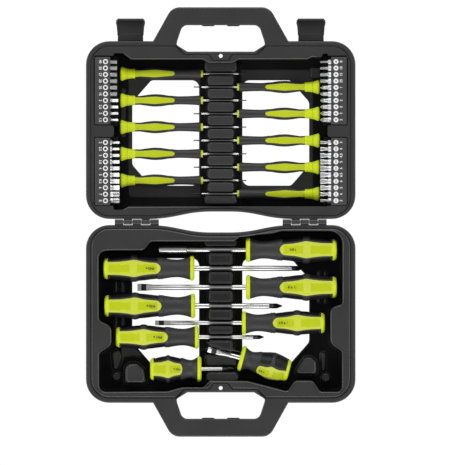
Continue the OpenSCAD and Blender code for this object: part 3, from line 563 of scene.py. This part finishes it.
def baseParts(b):
    floor = shell["floor"]
    mound(b, box(-17, 18.5, 152.4, 166, 3), floor, 15.9, 1.4, 2, 0.6)
    mound(b, box(-16.5, 20, 172.9, 184, 4), floor, 21, 1.6, 0.6, 0.3)
    rest(b, rounded([[-110.6, 162.7, 8], [-96.5, 162.7, 4], [-88.3, 169.5, 6], [-85.5, 186, 3.2],
                     [-110.6, 186, 3.2]], 8), 22.6)
    rest(b, rounded([[86.8, 170.5, 5], [96.5, 156.2, 5], [103, 154.4, 6], [110.5, 160.5, 6],
                     [111.2, 175.5, 3.2], [86.8, 175.5, 3.2]], 8), 22.6)
    for x, y in ((-120, 178), (121.2, 179.5)):
        mound(b, circle(x, y, 5.6), floor, 11, 1.4, 1.0, 0.6)
    # low ridges beside the rests, and a shelf behind the small handle
    for line, *form in (
            ([[-126, 150, 4], [-116, 146, 3], [-113.5, 156, 3], [-118, 170, 2.5], [-124, 170, 3]],
             9, 1.6, 2, 0.6),
            ([[115.4, 150, 2.5], [122, 150, 2.5], [121, 172, 2.5], [115.4, 172, 2.5]], 9, 1.6, 1.5, 0.6),
            ([[-115, 143.6, 2], [-99, 143.6, 2], [-90.3, 154.8, 2], [-115, 154.8, 2]], 7.2, 0.9, 1.0, 0.3)):
        mound(b, rounded(line, 5), floor, *form)
    for side in (-1, 1):
        # ribs between the large handles
        for y in (64, 86) if side > 0 else (75, 114):
            for x in (113.8, 120.8):
                mound(b, box(*sorted((side * (x - 1.6), side * (x + 1.6))), y - 7, y + 7, 1.5), floor, 8,
                      1.1, 1.2, 0.2)


def toBase(points):
    # the base is drawn like the lid, with y counted from the hinge line
    return points * np.array([1, -1, 1])


latchX, catchBox, latchBox = 104, (17.5, 203, 16.9, 21.1), (15.5, 201, 11.2, 23)
# the shell's own tone, then the darker tray and spine materials as painted shade
shades = [finish["shell"], finish["tray"], finish["spine"]]
for half, move, parts, numbers, pocket in (
        ("lid", None, lidParts, (1, 3), latchBox), ("base", toBase, baseParts, (0, 2, 4), catchBox)):
    skin = shellSkin(trays[half]).piece(half + "_skin", shades, move)
    w, y0, z0, z1 = pocket
    for x in (-latchX, latchX):
        carve(skin, box(x - w, x + w, y0, 230, 0), z0, z1, move)
    place(skin, half, "case_plastic", half + "_shell")
    extra = Body()
    handleGrip(extra)
    knuckles(extra, numbers)
    spineRidge(extra, spines[half])
    parts(extra)
    place(extra.piece(half + "_inside", shades, move), half, "case_plastic")
print("shells made")

# a rack with its sockets, and the marks on its top
rack = {"inner": 127, "outer": 145, "z": 17.3, "high": 14.2, "length": 78, "bits": 10, "pitch": 7.44,
        "across": 6.35, "play": 0.05, "seat": {1: 12.6, -1: 14.4}, "markX": 132.6, "labelX": 138.6,
        "labelSize": 4.0}
axisZ = rack["z"] + rack["high"] / 2
turns = np.linspace(0, 2 * math.pi, 48, endpoint=False)


def hexRing(across, point=9.0):
    # distance to a hexagon's side over the angle, its points cut off at a radius of point
    return np.minimum(across / 2 / np.cos((turns + math.pi / 6) % (math.pi / 3) - math.pi / 6), point)


def ringAt(s, radius):
    # a ring round the s axis, whose radius is one value or one for each angle
    return np.column_stack([np.full(len(turns), s), radius * np.cos(turns), radius * np.sin(turns)])


def starRing(r):
    # a circle with six lobes
    return r * (0.9 + 0.1 * np.cos(6 * turns))


def crossRing(r, depth):
    # a circle with four flutes
    return r * (1 - depth * np.abs(np.sin(2 * turns)) ** 0.6)


def flatRing(half, thin, power):
    # a rectangle of the two half sizes whose corners sharpen as the power grows
    wide, narrow = np.abs(np.cos(turns) / half) ** power, np.abs(np.sin(turns) / thin) ** power
    return (wide + narrow) ** (-1 / power)


def bitRings(kind, r, length):
    # a bit from its seat to its tip: chamfered hexagonal shank, turned neck, worked end
    shank = length - (7 if kind == "socket" else 9)
    neck = shank + 1.6
    af = rack["across"]
    rows = [ringAt(0, hexRing(af, 2.9)), ringAt(0.5, hexRing(af, 3.5)),
            ringAt(shank - 0.5, hexRing(af, 3.55)), ringAt(shank, hexRing(af, 3.0))]
    if kind == "socket":
        rows += [ringAt(shank - 0.2, r - 0.3), ringAt(shank + 0.1, r),
                 ringAt(length - 0.4, r), ringAt(length, r - 0.4),
                 ringAt(length, hexRing(r * 1.3)), ringAt(length - 4.5, hexRing(r * 1.3))]
        return rows
    rows += [ringAt(shank + 0.45, min(r + 0.5, 2.9)), ringAt(neck, r)]
    if kind == "cross":
        for t, depth in ((0.45, 0.05), (0.6, 0.3), (0.8, 0.42), (1, 0.45)):
            s = neck + (length - neck) * t
            rows.append(ringAt(s, crossRing(r * (1 - 0.82 * max(0, t - 0.55) / 0.45), depth)))
    elif kind == "flat":
        for t, power in ((0.3, 2.4), (0.6, 4), (1, 8)):
            s = neck + (length - neck) * t
            rows.append(ringAt(s, flatRing(r * (1 + 0.12 * t), r + (0.45 - r) * t, power)))
    else:
        full, end = (
            (hexRing(1.75 * r), hexRing(1.5 * r)) if kind == "hex" else (starRing(r), starRing(0.85 * r)))
        rows += [ringAt(shank + 2.2, full), ringAt(length - 0.3, full), ringAt(length, end)]
    return rows


# kinds and neck radii of each set, from the hinge line outwards, with each bit's length and size mark
bitSets = {
    "upper_left": (-1, 112, [("hex", 1.3), ("hex", 1.5), ("hex", 1.7), ("hex", 2.0)] + [("star", 2.3)] * 6,
                   [23.5] * 4 + [22] * 6, "hex", "1.5 2 2.5 3 15 20 25 27 30 40".split()),
    "upper_right": (1, 112, [("cross", 2.7)] * 2 + [("cross", 2.5)] * 2 + [("cross", 2.3)] * 2
                    + [("star", 2.1), ("star", 1.9), ("star", 1.6), ("star", 1.4)],
                    [25] * 10, "cross", "3 3 2 2 1 1 20 15 10 8".split()),
    "lower_left": (-1, 19, [("socket", 3.6), ("socket", 3.5)]
                   + [("hex", r) for r in (3.1, 2.9, 2.6, 2.4, 2.1, 1.8, 1.5, 1.3)],
                   [25] * 10, "hex", "8 7 6 5.5 5 4 3.5 3 2.5 2".split()),
    "lower_right": (1, 19, [("flat", r) for r in (1.6, 2, 2.7, 3, 3, 2.9, 2.7, 2.5, 2, 1.6)],
                    [25] * 10, "slot", "3 4 5 6 6.5 6 5 4.5 4 3".split()),
}


def bitY(y0, i):
    return y0 + rack["length"] / 2 + (i - (rack["bits"] - 1) / 2) * rack["pitch"]


def printedMark(b, kind, x, y, z):
    # a white ring whose hole has the shape of the bit's end, 0.08 mm proud of the plastic
    hole = {"hex": hexRing(3.0), "cross": crossRing(1.7, 0.6), "slot": flatRing(0.42, 1.8, 6)}[kind]
    out, ins = circle(x, y, 2.9, 48), circle(x, y, hole, 48)
    for loop in (out, ins):
        b.wall(loop, [(0, z - 0.2), (0, z + 0.08)], 1)
    b.flat(out, z + 0.08, [ins], 1)
    b.flat(out, z - 0.2, [ins], 1)


def printedText(b, text, x, y, z, size, turn, slot=1):
    # generic size marks, as thin raised print read from the side
    data = bpy.data.curves.new("mark", "FONT")
    data.body, data.size, data.extrude, data.offset = text, size * mm, 0.00004, 0.00008
    data.align_x = data.align_y = "CENTER"
    obj = newObject("mark", data)
    mesh = evaluatedMesh(obj)
    p = np.array([v.co for v in mesh.vertices]) / mm
    c, s = math.cos(turn), math.sin(turn)
    points = np.column_stack([x + p[:, 0] * c - p[:, 1] * s, y + p[:, 0] * s + p[:, 1] * c,
                              z + 0.04 + p[:, 2]])
    b.add(points, [list(f.vertices) for f in mesh.polygons], slot)
    bpy.data.objects.remove(obj)
    bpy.data.meshes.remove(mesh)


def rackPiece(name):
    side, y0, kinds, lengths, mark, labels = bitSets[name]
    b = Body()
    z0, top, inner, outer = rack["z"], rack["z"] + rack["high"], rack["inner"], rack["outer"]
    seat = inner + rack["seat"][side]
    outline = box(y0, y0 + rack["length"], z0, top, 0.9, 5)
    ends = [(0.75, inner), (0.6, inner), (0.18, inner + 0.15), (0, inner + 0.6), (0, outer - 0.6),
            (0.18, outer - 0.15), (0.6, outer), (0.75, outer)]
    first, last = b.wall(outline, ends)
    holes = []
    for i in range(rack["bits"]):
        hole = circle(bitY(y0, i), axisZ, hexRing(rack["across"] + 2 * rack["play"]), 48)
        lip, deep = b.wall(hole, [(-0.3, inner), (0, inner + 0.3), (0, seat)])
        b.flat(deep, seat)
        holes.append(lip)
    b.flat(first, inner, holes)
    b.flat(last, outer)
    b.verts = [np.column_stack([side * p[:, 2], p[:, 0], p[:, 1]]) for p in b.verts]
    for i, label in enumerate(labels):
        printedMark(b, mark, side * rack["markX"], bitY(y0, i), top)
        printedText(b, label, side * rack["labelX"], bitY(y0, i), top, rack["labelSize"],
                    side * math.pi / 2)
    place(b.piece("rack_" + name + "_body", [finish["rack"], finish["print"]]),
          "rack_" + name, "rack_plastic", "rack_" + name)
    bits = Body()
    for i, ((kind, r), length) in enumerate(zip(kinds, lengths)):
        rows = np.array(bitRings(kind, r, length))
        # each bit points towards the middle of the case
        bits.loft(np.stack([side * seat - side * rows[..., 0], bitY(y0, i) + rows[..., 1],
                            axisZ + rows[..., 2]], axis=-1))
    place(bits.piece("bits_" + name + "_set", [finish["bit"]], sharp=28),
          "rack_" + name, "bit_steel", "bits_" + name)


for name in bitSets:
    rackPiece(name)
print("racks made")


def laid(at, turn, z, roll=0.0):
    # turns a piece drawn along s, with v up, so that it lies on the axis at height z
    c, s = math.cos(math.radians(turn)), math.sin(math.radians(turn))
    cr, sr = math.cos(math.radians(roll)), math.sin(math.radians(roll))

    def move(p):
        u, v = p[:, 1] * cr - p[:, 2] * sr, p[:, 1] * sr + p[:, 2] * cr
        return np.column_stack([at[0] + p[:, 0] * c - u * s, at[1] + p[:, 0] * s + u * c, z + v])
    return move


def gripSurface(b, stations, radius, panel, level, dents, recess, limeUpTo, limeFrom, sides=32, across=16):
    # A handle's skin. At each station the section is a circle of the given radius with two opposite
    # panels of half width panel(s), flattened and let in by level(s); dents(s, u, t) is how deep the
    # skin lies there, with u across the panel, or t from 0 to 1 over the side between the panels.
    # recess(s, u, t) is over a half where the skin takes a darker material: painted shade in its hollows.
    s = np.asarray(stations, dtype=float)
    r, half = radius(s), np.maximum(panel(s), 0.05)
    half = np.minimum(half, 0.93 * r)
    phi, gap = np.arcsin(half / r), 0.35 / r * smooth((half - 0.1) / 1.5)
    up = level(s) * smooth((half - 0.1) / 1.5)
    middle = (s[:-1] + s[1:]) / 2
    columns, slots = [], []
    for start, sign in ((0, 1), (math.pi, -1)):
        for t in np.linspace(-1, 1, across + 1):
            a = phi * t
            edge = r * np.cos(phi)
            v = edge + (r * np.cos(a) - edge) * (1 - 0.35 * up) - 0.45 * up - dents(s, r * np.sin(a), None)
            columns.append(np.column_stack([s, sign * r * np.sin(a), sign * v]))
            u = np.interp(middle, s, r * np.sin(phi * (t + 1 / across)))
            # let-in pads take slot 3, a darker lime as painted shade
            slots.append(np.where(recess(middle, u, None) > 0.5, 3, 1))
            slots[-1][panel(middle) < 0.2] = 2
        slots[-1][:] = 2
        for t in np.linspace(0, 1, sides + 1):
            a = start + phi + gap + t * (math.pi - 2 * phi - 2 * gap)
            rr = r - dents(s, None, t)
            columns.append(np.column_stack([s, rr * np.sin(a), rr * np.cos(a)]))
            # finger scoops take slot 4, on the large handles a near-black rubber as painted shade
            slots.append(np.where(recess(middle, None, t + 0.5 / sides) > 0.5, 4, 2))
        slots[-1][:] = 2
    rows = np.array(columns).transpose(1, 0, 2)
    slots = np.transpose(slots)
    slots[(middle < limeUpTo) | (middle > limeFrom)] = 0
    b.grid(rows, wrap=True, slot=slots.reshape(-1))
    b.cap(rows[0])
    b.cap(rows[-1])


def along(stops, step):
    # stations a step apart, with every stop among them
    out = []
    for a, c in zip(stops[:-1], stops[1:]):
        n = max(1, int(math.ceil((c - a) / step)))
        out.extend(np.linspace(a, c, n, endpoint=False))
    return out + [stops[-1]]


# the full-size handle, from its butt: radius, and half width of the lime panel
bigProfile = curve([
    (0, 9.2), (0.4, 10.3), (1.2, 11.3), (2.6, 12.0), (4.6, 12.5), (8, 12.9), (16, 14.1), (26, 15.1),
    (35, 15.5), (44, 15.0), (55, 13.7), (62, 12.9), (66, 12.4), (72, 11.5), (79, 10.5), (85, 10.2),
    (91, 10.9), (96, 12.2), (99.4, 13.1), (99.8, 13.0), (100.05, 13.9), (100.7, 14.2), (102.3, 14.2),
    (103.6, 13.6), (104.3, 12.5), (104.6, 11.2)])
bigPanel = curve([
    (0, 7.2), (4.6, 7.3), (15, 7.5), (25, 8.4), (33, 9.6), (35, 9.8), (37, 9.6), (45, 7.9), (52, 6.9),
    (58, 6.4), (61, 6.0), (63.5, 4.6), (65.2, 2.5), (65.8, 0.05), (104.6, 0.05)])


def bigPads(s, u, t):
    # two pads let into the panel, and a scoop for the fingers on each side of the ridge; the same marks say
    # where the painted shade of these hollows goes
    if u is not None:
        return (bump(s, 5.6, 30.8, 1.6) + bump(s, 38.2, 62.2, 1.6)) * bump(u, -5.3, 5.3, 1.5)
    return (bump(s, 6, 32.2, 2) + bump(s, 38, 63.5, 2)) * bump(t, 0.05, 0.95, 0.1)


def bigDents(s, u, t):
    ridge = -0.35 * np.exp(-((s - 35) / 0.9) ** 2)
    pads = bigPads(s, u, t)
    if u is not None:
        return ridge + 0.45 * pads
    return ridge + 0.9 * pads - 0.3 * bump(s, 66.2, 68.4, 0.5)


bigStops = [0, 0.4, 1.2, 2.6, 4.6, 4.9, 33.4, 36.6, 62, 65.2, 65.8, 66.2, 66.7, 67.9, 68.4, 99.4, 99.8,
            100.05, 100.7, 102.3, 103.6, 104.3, 104.6]
# how the stations of the other handles answer to those of the full-size one
handleKinds = {
    "big": {"stretch": ([0, 104.6], [0, 104.6]), "r": 15.5, "length": 104.6, "seat": 28, "sizeMark": 4.0},
    "small": {"stretch": ([0, 104.6], [0, 95.5]), "r": 14.6, "length": 95.5, "seat": 28, "sizeMark": 4.0},
    "stubby": {"stretch": ([0, 4.6, 35, 66, 100, 104.6], [0, 3.8, 20.6, 37.2, 54.6, 59]), "r": 16,
               "length": 59, "seat": 20, "sizeMark": 3.3},
}


def handlePiece(b, kind, size):
    k = handleKinds[kind]
    grow = k["r"] / handleKinds["big"]["r"]
    stations = np.array(along(bigStops, 1.1))
    own = np.interp(stations, *k["stretch"])

    def back(s):
        return np.interp(s, k["stretch"][1], k["stretch"][0])
    gripSurface(b, own, lambda s: grow * bigProfile(back(s)), lambda s: grow * bigPanel(back(s)),
                lambda s: smooth((back(s) - 0.8) / 7), lambda s, u, t: bigDents(back(s), u, t),
                lambda s, u, t: bigPads(back(s), u, t),
                np.interp(4.7, *k["stretch"]), np.interp(99.8, *k["stretch"]))
    # the blade's size, printed on the front pad; read from the handle's front end
    s = np.interp(50, *k["stretch"])
    printedText(b, size, s, 0, grow * bigProfile(50.0) - 1.35, k["sizeMark"], math.pi, 5)


def shaftPiece(b, blade, start, end, r):
    # a blade from inside the handle to its tip, with a darkened stretch of the given length at the end
    kind, half, dark = blade
    rows, bare = [ringAt(start, r)], 0
    if kind == "cross":
        rows += [ringAt(end - dark, r), ringAt(end - dark, r - 0.12)]
        for t in np.linspace(0.08, 1, 14):
            cone = r * (1 - 0.75 * max(0, t - 0.6) / 0.4) - 0.12
            rows.append(ringAt(end - dark * (1 - t), crossRing(cone, 0.4 * smooth((t - 0.1) / 0.5))))
    else:
        bare = 4.0
        for t in np.linspace(0, 1, 14):
            # the shank spreads into the flat blade over the last 19 mm
            wide = r + (half - r) * smooth(t / 0.55)
            flat = r + (0.62 - r) * smooth((t + 0.02) / 0.75) - 0.25 * smooth((t - 0.6) / 0.4)
            rows.append(ringAt(end - 19 + 19 * t, flatRing(wide, max(flat, 0.5), 2 + 7 * smooth(t / 0.55))))
    rows = np.array(rows)
    middle = (rows[:-1, 0, 0] + rows[1:, 0, 0]) / 2
    black = (middle > end - dark - bare + 0.1) & (middle < end - bare)
    b.grid(rows, wrap=True, slot=np.repeat(np.where(black, 1, 0), len(turns)))
    b.cap(rows[0])
    b.cap(rows[-1], 1 if kind == "cross" else 0)


def holderShaft(b, start, end, r):
    # the bit holder: a round shaft and a sleeve with a hexagonal socket
    sleeve, deep, af = 32, 15, 6.45
    rows = [ringAt(start, r), ringAt(end - sleeve - 0.4, r)]
    rows += [ringAt(end - sleeve + s, wide) for s, wide in (
        (0, 3.5), (0.7, 4.1), (5.2, 4.1), (5.5, 3.85), (6.3, 3.85), (6.6, 4.1), (31.3, 4.1), (32, 3.75))]
    rows += [ringAt(end, hexRing(af + 0.5)), ringAt(end - 0.4, hexRing(af)), ringAt(end - deep, hexRing(af))]
    b.loft(rows)


handleFloor = 3.3  # height of each handle's lowest line
# name: butt, turn, handle, blade (kind, half width, darkened length), its length and radius, roll, size
drivers = {
    "long_phillips": ((-134.9, -53.4), 0, "big", ("cross", 0, 13), 125, 3, 0, "PH2 x 125"),
    "phillips": ((-133.9, -96.7), 0, "big", ("cross", 0, 15), 100, 3, 0, "PH2 x 100"),
    "small_phillips": ((-120.8, -132.6), 0, "small", ("cross", 0, 12.5), 75, 2.5, 0, "PH1 x 75"),
    "stubby_phillips": ((-81.2, -169.4), 0, "stubby", ("cross", 0, 14), 38, 2.5, 0, "PH1 x 38"),
    "bit_holder": ((133.6, -31.9), 180, "big", ("holder", 0, 0), 100, 3, 0, "1/4 in"),
    "long_slotted": ((133.6, -75.2), 180, "big", ("flat", 4.0, 7), 125, 3, 0, "8 x 125"),
    "slotted": ((119.9, -116.2), 180, "small", ("flat", 2.75, 6), 100, 2.5, 0, "5.5 x 100"),
    "stubby_slotted": ((79.1, -171.3), 165.3, "stubby", ("flat", 3.25, 7), 38, 3, -42, "6.5 x 38"),
}
for name, (at, turn, kind, blade, bladeL, r, roll, size) in drivers.items():
    k = handleKinds[kind]
    b = Body()
    handlePiece(b, kind, size)
    high = handleFloor + k["r"]
    colours = [finish[f] for f in ("lime", "panel", "grip", "padShadeAndThinPanel", "scoopShade", "mark")]
    place(b.piece(name + "_grip", colours, laid(at, turn, high, roll)),
          name + "_driver", "handle_plastic", name + "_handle")
    b = Body()
    start, end = k["length"] - k["seat"], k["length"] + bladeL
    if blade[0] == "holder":
        holderShaft(b, start, end, r)
        node = name + "_shaft"
    else:
        shaftPiece(b, blade, start, end, r)
        node = name + "_blade"
    flatUp = laid(at, turn, high, 0 if roll == 0 else -20)
    place(b.piece(node + "_steel", [finish["chrome"], finish["tip"]], flatUp, 30),
          name + "_driver", "blade_chrome", node)
print("large drivers made")

precision = {"z": 11.45, "length": 95.5, "blade": 50, "bladeR": 1.25, "seat": 15.5, "left": -116,
             "right": 114.3, "first": 171, "pitch": 15.4, "count": 10, "capL": 8.1}
capRadius = curve([
    (0, 5.7), (0.3, 6.9), (1.0, 7.8), (1.8, 8.15), (2.6, 8.05), (4, 7.6), (6.3, 6.75), (8.1, 6.25)])
thinProfile = curve([
    (8.4, 6.2), (11.8, 5.6), (17.3, 5.4), (17.5, 5.15), (22, 5.4), (32, 6.8), (40, 7.5), (47, 7.2),
    (56, 5.9), (66.5, 4.75), (75, 4.85), (86, 5.3), (92.4, 5.6), (92.8, 4.9), (93.1, 4.15), (93.5, 4.25),
    (95.0, 4.25), (95.5, 3.9)])
thinPanel = curve([
    (8.4, 3.4), (17.5, 3.7), (22, 3.3), (32, 3.7), (40, 4.2), (50, 3.4), (58, 2.7), (60.5, 2.4), (62.4, 1.5),
    (63.2, 0.05), (95.5, 0.05)])


def thinRecess(s, u, t):
    if u is not None:
        return 0 * s
    return bump(s, 19, 58, 3) * bump(t, 0.08, 0.92, 0.15)


def thinDents(s, u, t):
    if u is not None:
        return 0 * s
    return (0.35 * bump(s, 19.5, 60, 3) * bump(t, 0, 1, 0.25)
            + 0.12 * bump(s, 66, 88, 1.5) * (0.5 + 0.5 * np.cos(2 * math.pi * s / 3.2)))


for i in range(precision["count"]):
    name, leftSide = "precision_%d" % (i + 1), i % 2 == 0
    at = (precision["left" if leftSide else "right"], precision["first"] - precision["pitch"] * i)
    move = laid(at, 0 if leftSide else 180, precision["z"])
    b, rows = Body(), []
    for s in along([0, 0.3, 1.0, 1.8, 2.6, precision["capL"]], 0.8):
        # fine finger flutes fade in from the dished end to the neck
        flutes = 1 - 0.02 * smooth((s - 2) / 3) * (0.5 + 0.5 * np.cos(16 * turns))
        rows.append(ringAt(s, capRadius(s) * flutes))
    # the spigot on which the cap turns
    rows.append(ringAt(precision["capL"], 1.5))
    rows.append(ringAt(precision["capL"] + 5, 1.45))
    b.grid(np.array(rows), wrap=True)
    b.cap(rows[-1])
    # the end is dished
    dish = [ringAt(s, r) for s, r in ((0.05, 5.3), (0.35, 4.6), (0.5, 3.0), (0.55, 1.2))]
    b.grid(np.array([rows[0]] + dish), wrap=True)
    b.cap(dish[-1])
    place(b.piece(name + "_swivelCap", [finish["lime"]], move),
          name + "_swivel", "cap_plastic", name + "_cap")
    b = Body()
    stops = [8.4, 17.3, 17.5, 57, 62.8, 66, 88, 92.6, 92.9, 93.1, 93.5, 95.0, 95.5]
    gripSurface(b, along(stops, 0.9), thinProfile, thinPanel, lambda s: 0.6 * bump(s, 17.3, 80, 3),
                thinDents, thinRecess, 17.4, 93.0, 20, 10)
    place(b.piece(name + "_grip", [finish[f] for f in ("lime", "padShadeAndThinPanel", "grip", "padShadeAndThinPanel", "grip")], move),
          name, "handle_plastic", name + "_handle")
    b = Body()
    start, r = precision["length"] - precision["seat"], precision["bladeR"]
    end = precision["length"] + precision["blade"]
    rows = [ringAt(s, r * f) for s, f in (
        (start, 1), (start + 21.5, 1), (start + 26.5, 0.7), (end - 20, 0.7), (end - 17, 0.95),
        (end - 9.2, 0.95), (end - 9.0, 0.6), (end - 2, 0.5))] + [ringAt(end, flatRing(r * 0.55, 0.25, 6))]
    b.grid(np.array(rows), wrap=True, slot=np.repeat([0, 0, 0, 0, 0, 0, 1, 1], len(turns)))
    b.cap(rows[0])
    b.cap(rows[-1], 1)
    place(b.piece(name + "_steel", [finish["chrome"], finish["tip"]], move),
          name, "blade_chrome", name + "_blade")
print("precision drivers made")

# a latch, in the lid's place: its pivot, its plate and the hook at its tip
latch = {"y": 204.4, "z": 19, "barrel": 3, "pin": 1.5, "pinOut": 3, "rear": 2.5, "half": 15, "tipHalf": 17,
         "tipY": 234.4, "low": 12, "panel": 14.2, "face": 15, "hookY": 231.4, "hookZ": 20}


def tubeAlongX(b, x0, x1, y, z, r, chamfer=0.3):
    b.loft([ringAt(x, rr) + np.array([0, y, z]) for x, rr in (
        (x0, r - chamfer), (x0 + chamfer, r), (x1 - chamfer, r), (x1, r - chamfer))])


for name, x in (("left", -latchX), ("right", latchX)):
    b = Body()
    y, z, low, half, tip, tipY, panel, face, hookZ = (
        latch[k] for k in ("y", "z", "low", "half", "tipHalf", "tipY", "panel", "face", "hookZ"))
    rear, pinHalf = y - latch["rear"], half + latch["pinOut"]
    tubeAlongX(b, x - half, x + half, y, z, latch["barrel"])
    tubeAlongX(b, x - pinHalf, x + pinHalf, y, z, latch["pin"], 0.2)
    b.block(box(x - half, x + half, rear, y + latch["rear"], 0.6), [(0.3, low), (0, low + 0.3), (0, z)])
    # the plate is waisted towards its tip, with a raised bar, two ribs and the hook on it
    plate = rounded([[x - half, rear, 0.5], [x + half, rear, 0.5], [x + half - 0.6, 219, 8],
                     [x + tip, 230, 3], [x + tip - 2, tipY, 1.5], [x - tip + 2, tipY, 1.5],
                     [x - tip, 230, 3], [x - half + 0.6, 219, 8]], 5)
    b.block(plate, [(0.9, low), (0.3, low + 0.25), (0, low + 0.8), (0, panel - 0.3), (0.3, panel)])
    rim = [(0, panel - 1), (0, face - 0.35), (0.12, face - 0.1), (0.35, face)]
    b.block(box(x - half + 0.4, x + half - 0.4, 208.6, 217, 0.8), rim)
    for side in (-1, 1):
        root, far = x + side * (half - 1.1), x + side * (tip - 1.6)
        b.block(rounded([[root - 1.1, 215, 0.3], [root + 1.1, 215, 0.3], [far + 1.1, 233, 0.3],
                         [far - 1.1, 233, 0.3]], 3), rim)
    b.block(box(x - tip + 2, x + tip - 2, latch["hookY"], tipY, 0.5),
            [(0, low + 0.8), (0, hookZ - 1), (0.3, hookZ - 0.3), (1.0, hookZ)])
    place(b.piece("latch_%s_clip" % name, [finish["latch"]]),
          "latch_" + name, "latch_plastic", "latch_" + name)

b = Body()
pinR, pinHalf = 1.5, shell["hingeL"] / 2 - shell["knuckleGap"] / 2
for x in (-shell["hingeX"], shell["hingeX"]):
    tubeAlongX(b, x - pinHalf, x + pinHalf, 0, shell["hingeZ"], pinR)
place(b.piece("hinge_pins_steel", [finish["pin"]]), "base", "hinge_steel", "hinge_pins")
print("latches and pins made")

# the floor and the lights
stage = {
    "floorHalf": 3, "floorZ": -0.0006, "floorLight": 1.02, "sky": 0.28,
    # name: place, size and power; each lamp looks at the middle of the case
    "lamps": {
        "frontSoft": ((0, -1.4, 0.85), (1.8, 0.6), 13),
        "rearSoft": ((0, 1.4, 0.85), (1.8, 0.6), 12.5),
        "leftSoft": ((-1.4, 0, 0.75), (1.5, 0.5), 9),
        "rightSoft": ((1.4, 0, 0.75), (1.5, 0.5), 7),
    },
}


def stageFloor():
    mesh = bpy.data.meshes.new("floor")
    wide, low = stage["floorHalf"], stage["floorZ"]
    mesh.from_pydata([(x * wide, y * wide, low) for x, y in ((-1, -1), (1, -1), (1, 1), (-1, 1))],
                     [], [(0, 1, 2, 3)])
    obj = newObject("floor", mesh)
    m = bpy.data.materials.new("floorWhite")
    m.use_nodes = True
    nodes, links = m.node_tree.nodes, m.node_tree.links
    nodes.clear()
    light, matt, mix = (nodes.new("ShaderNode" + k) for k in ("Emission", "BsdfDiffuse", "MixShader"))
    path, out = nodes.new("ShaderNodeLightPath"), nodes.new("ShaderNodeOutputMaterial")
    fill(light, {"Strength": stage["floorLight"]})
    fill(matt, {"Color": (0.8, 0.8, 0.8, 1)})
    links.new(path.outputs["Is Camera Ray"], mix.inputs[0])
    links.new(matt.outputs[0], mix.inputs[1])
    links.new(light.outputs[0], mix.inputs[2])
    links.new(mix.outputs[0], out.inputs[0])
    mesh.materials.append(m)


def areaLight(name, at, size, power):
    data = bpy.data.lights.new(name, "AREA")
    data.shape, data.size, data.size_y, data.energy = "RECTANGLE", size[0], size[1], power
    obj = newObject(name, data)
    obj.location = at
    obj.rotation_euler = (-Vector(at)).to_track_quat("-Z", "Y").to_euler()


stageFloor()
for name, (at, size, power) in stage["lamps"].items():
    areaLight(name, at, size, power)

world = bpy.data.worlds.new("room")
world.use_nodes = True
fill(world.node_tree.nodes["Background"], {"Color": (1, 1, 1, 1), "Strength": stage["sky"]})
bpy.context.scene.world = world

# the photo's camera: over this point, far above the rim, with this much of the floor from top to bottom
view = {"x": 5.5, "y": -12.1, "height": 9000.0, "tall": 534.75}
lens = bpy.data.cameras.new("camera")
lens.sensor_fit = "VERTICAL"
lens.angle = 2 * math.atan(view["tall"] / 2 / view["height"])
eye = newObject("camera", lens)
eye.location = (view["x"] * mm, view["y"] * mm, (shell["rim"] + view["height"]) * mm)
bpy.context.scene.camera = eye
bpy.context.scene.view_settings.view_transform = "Standard"

print("stage made")
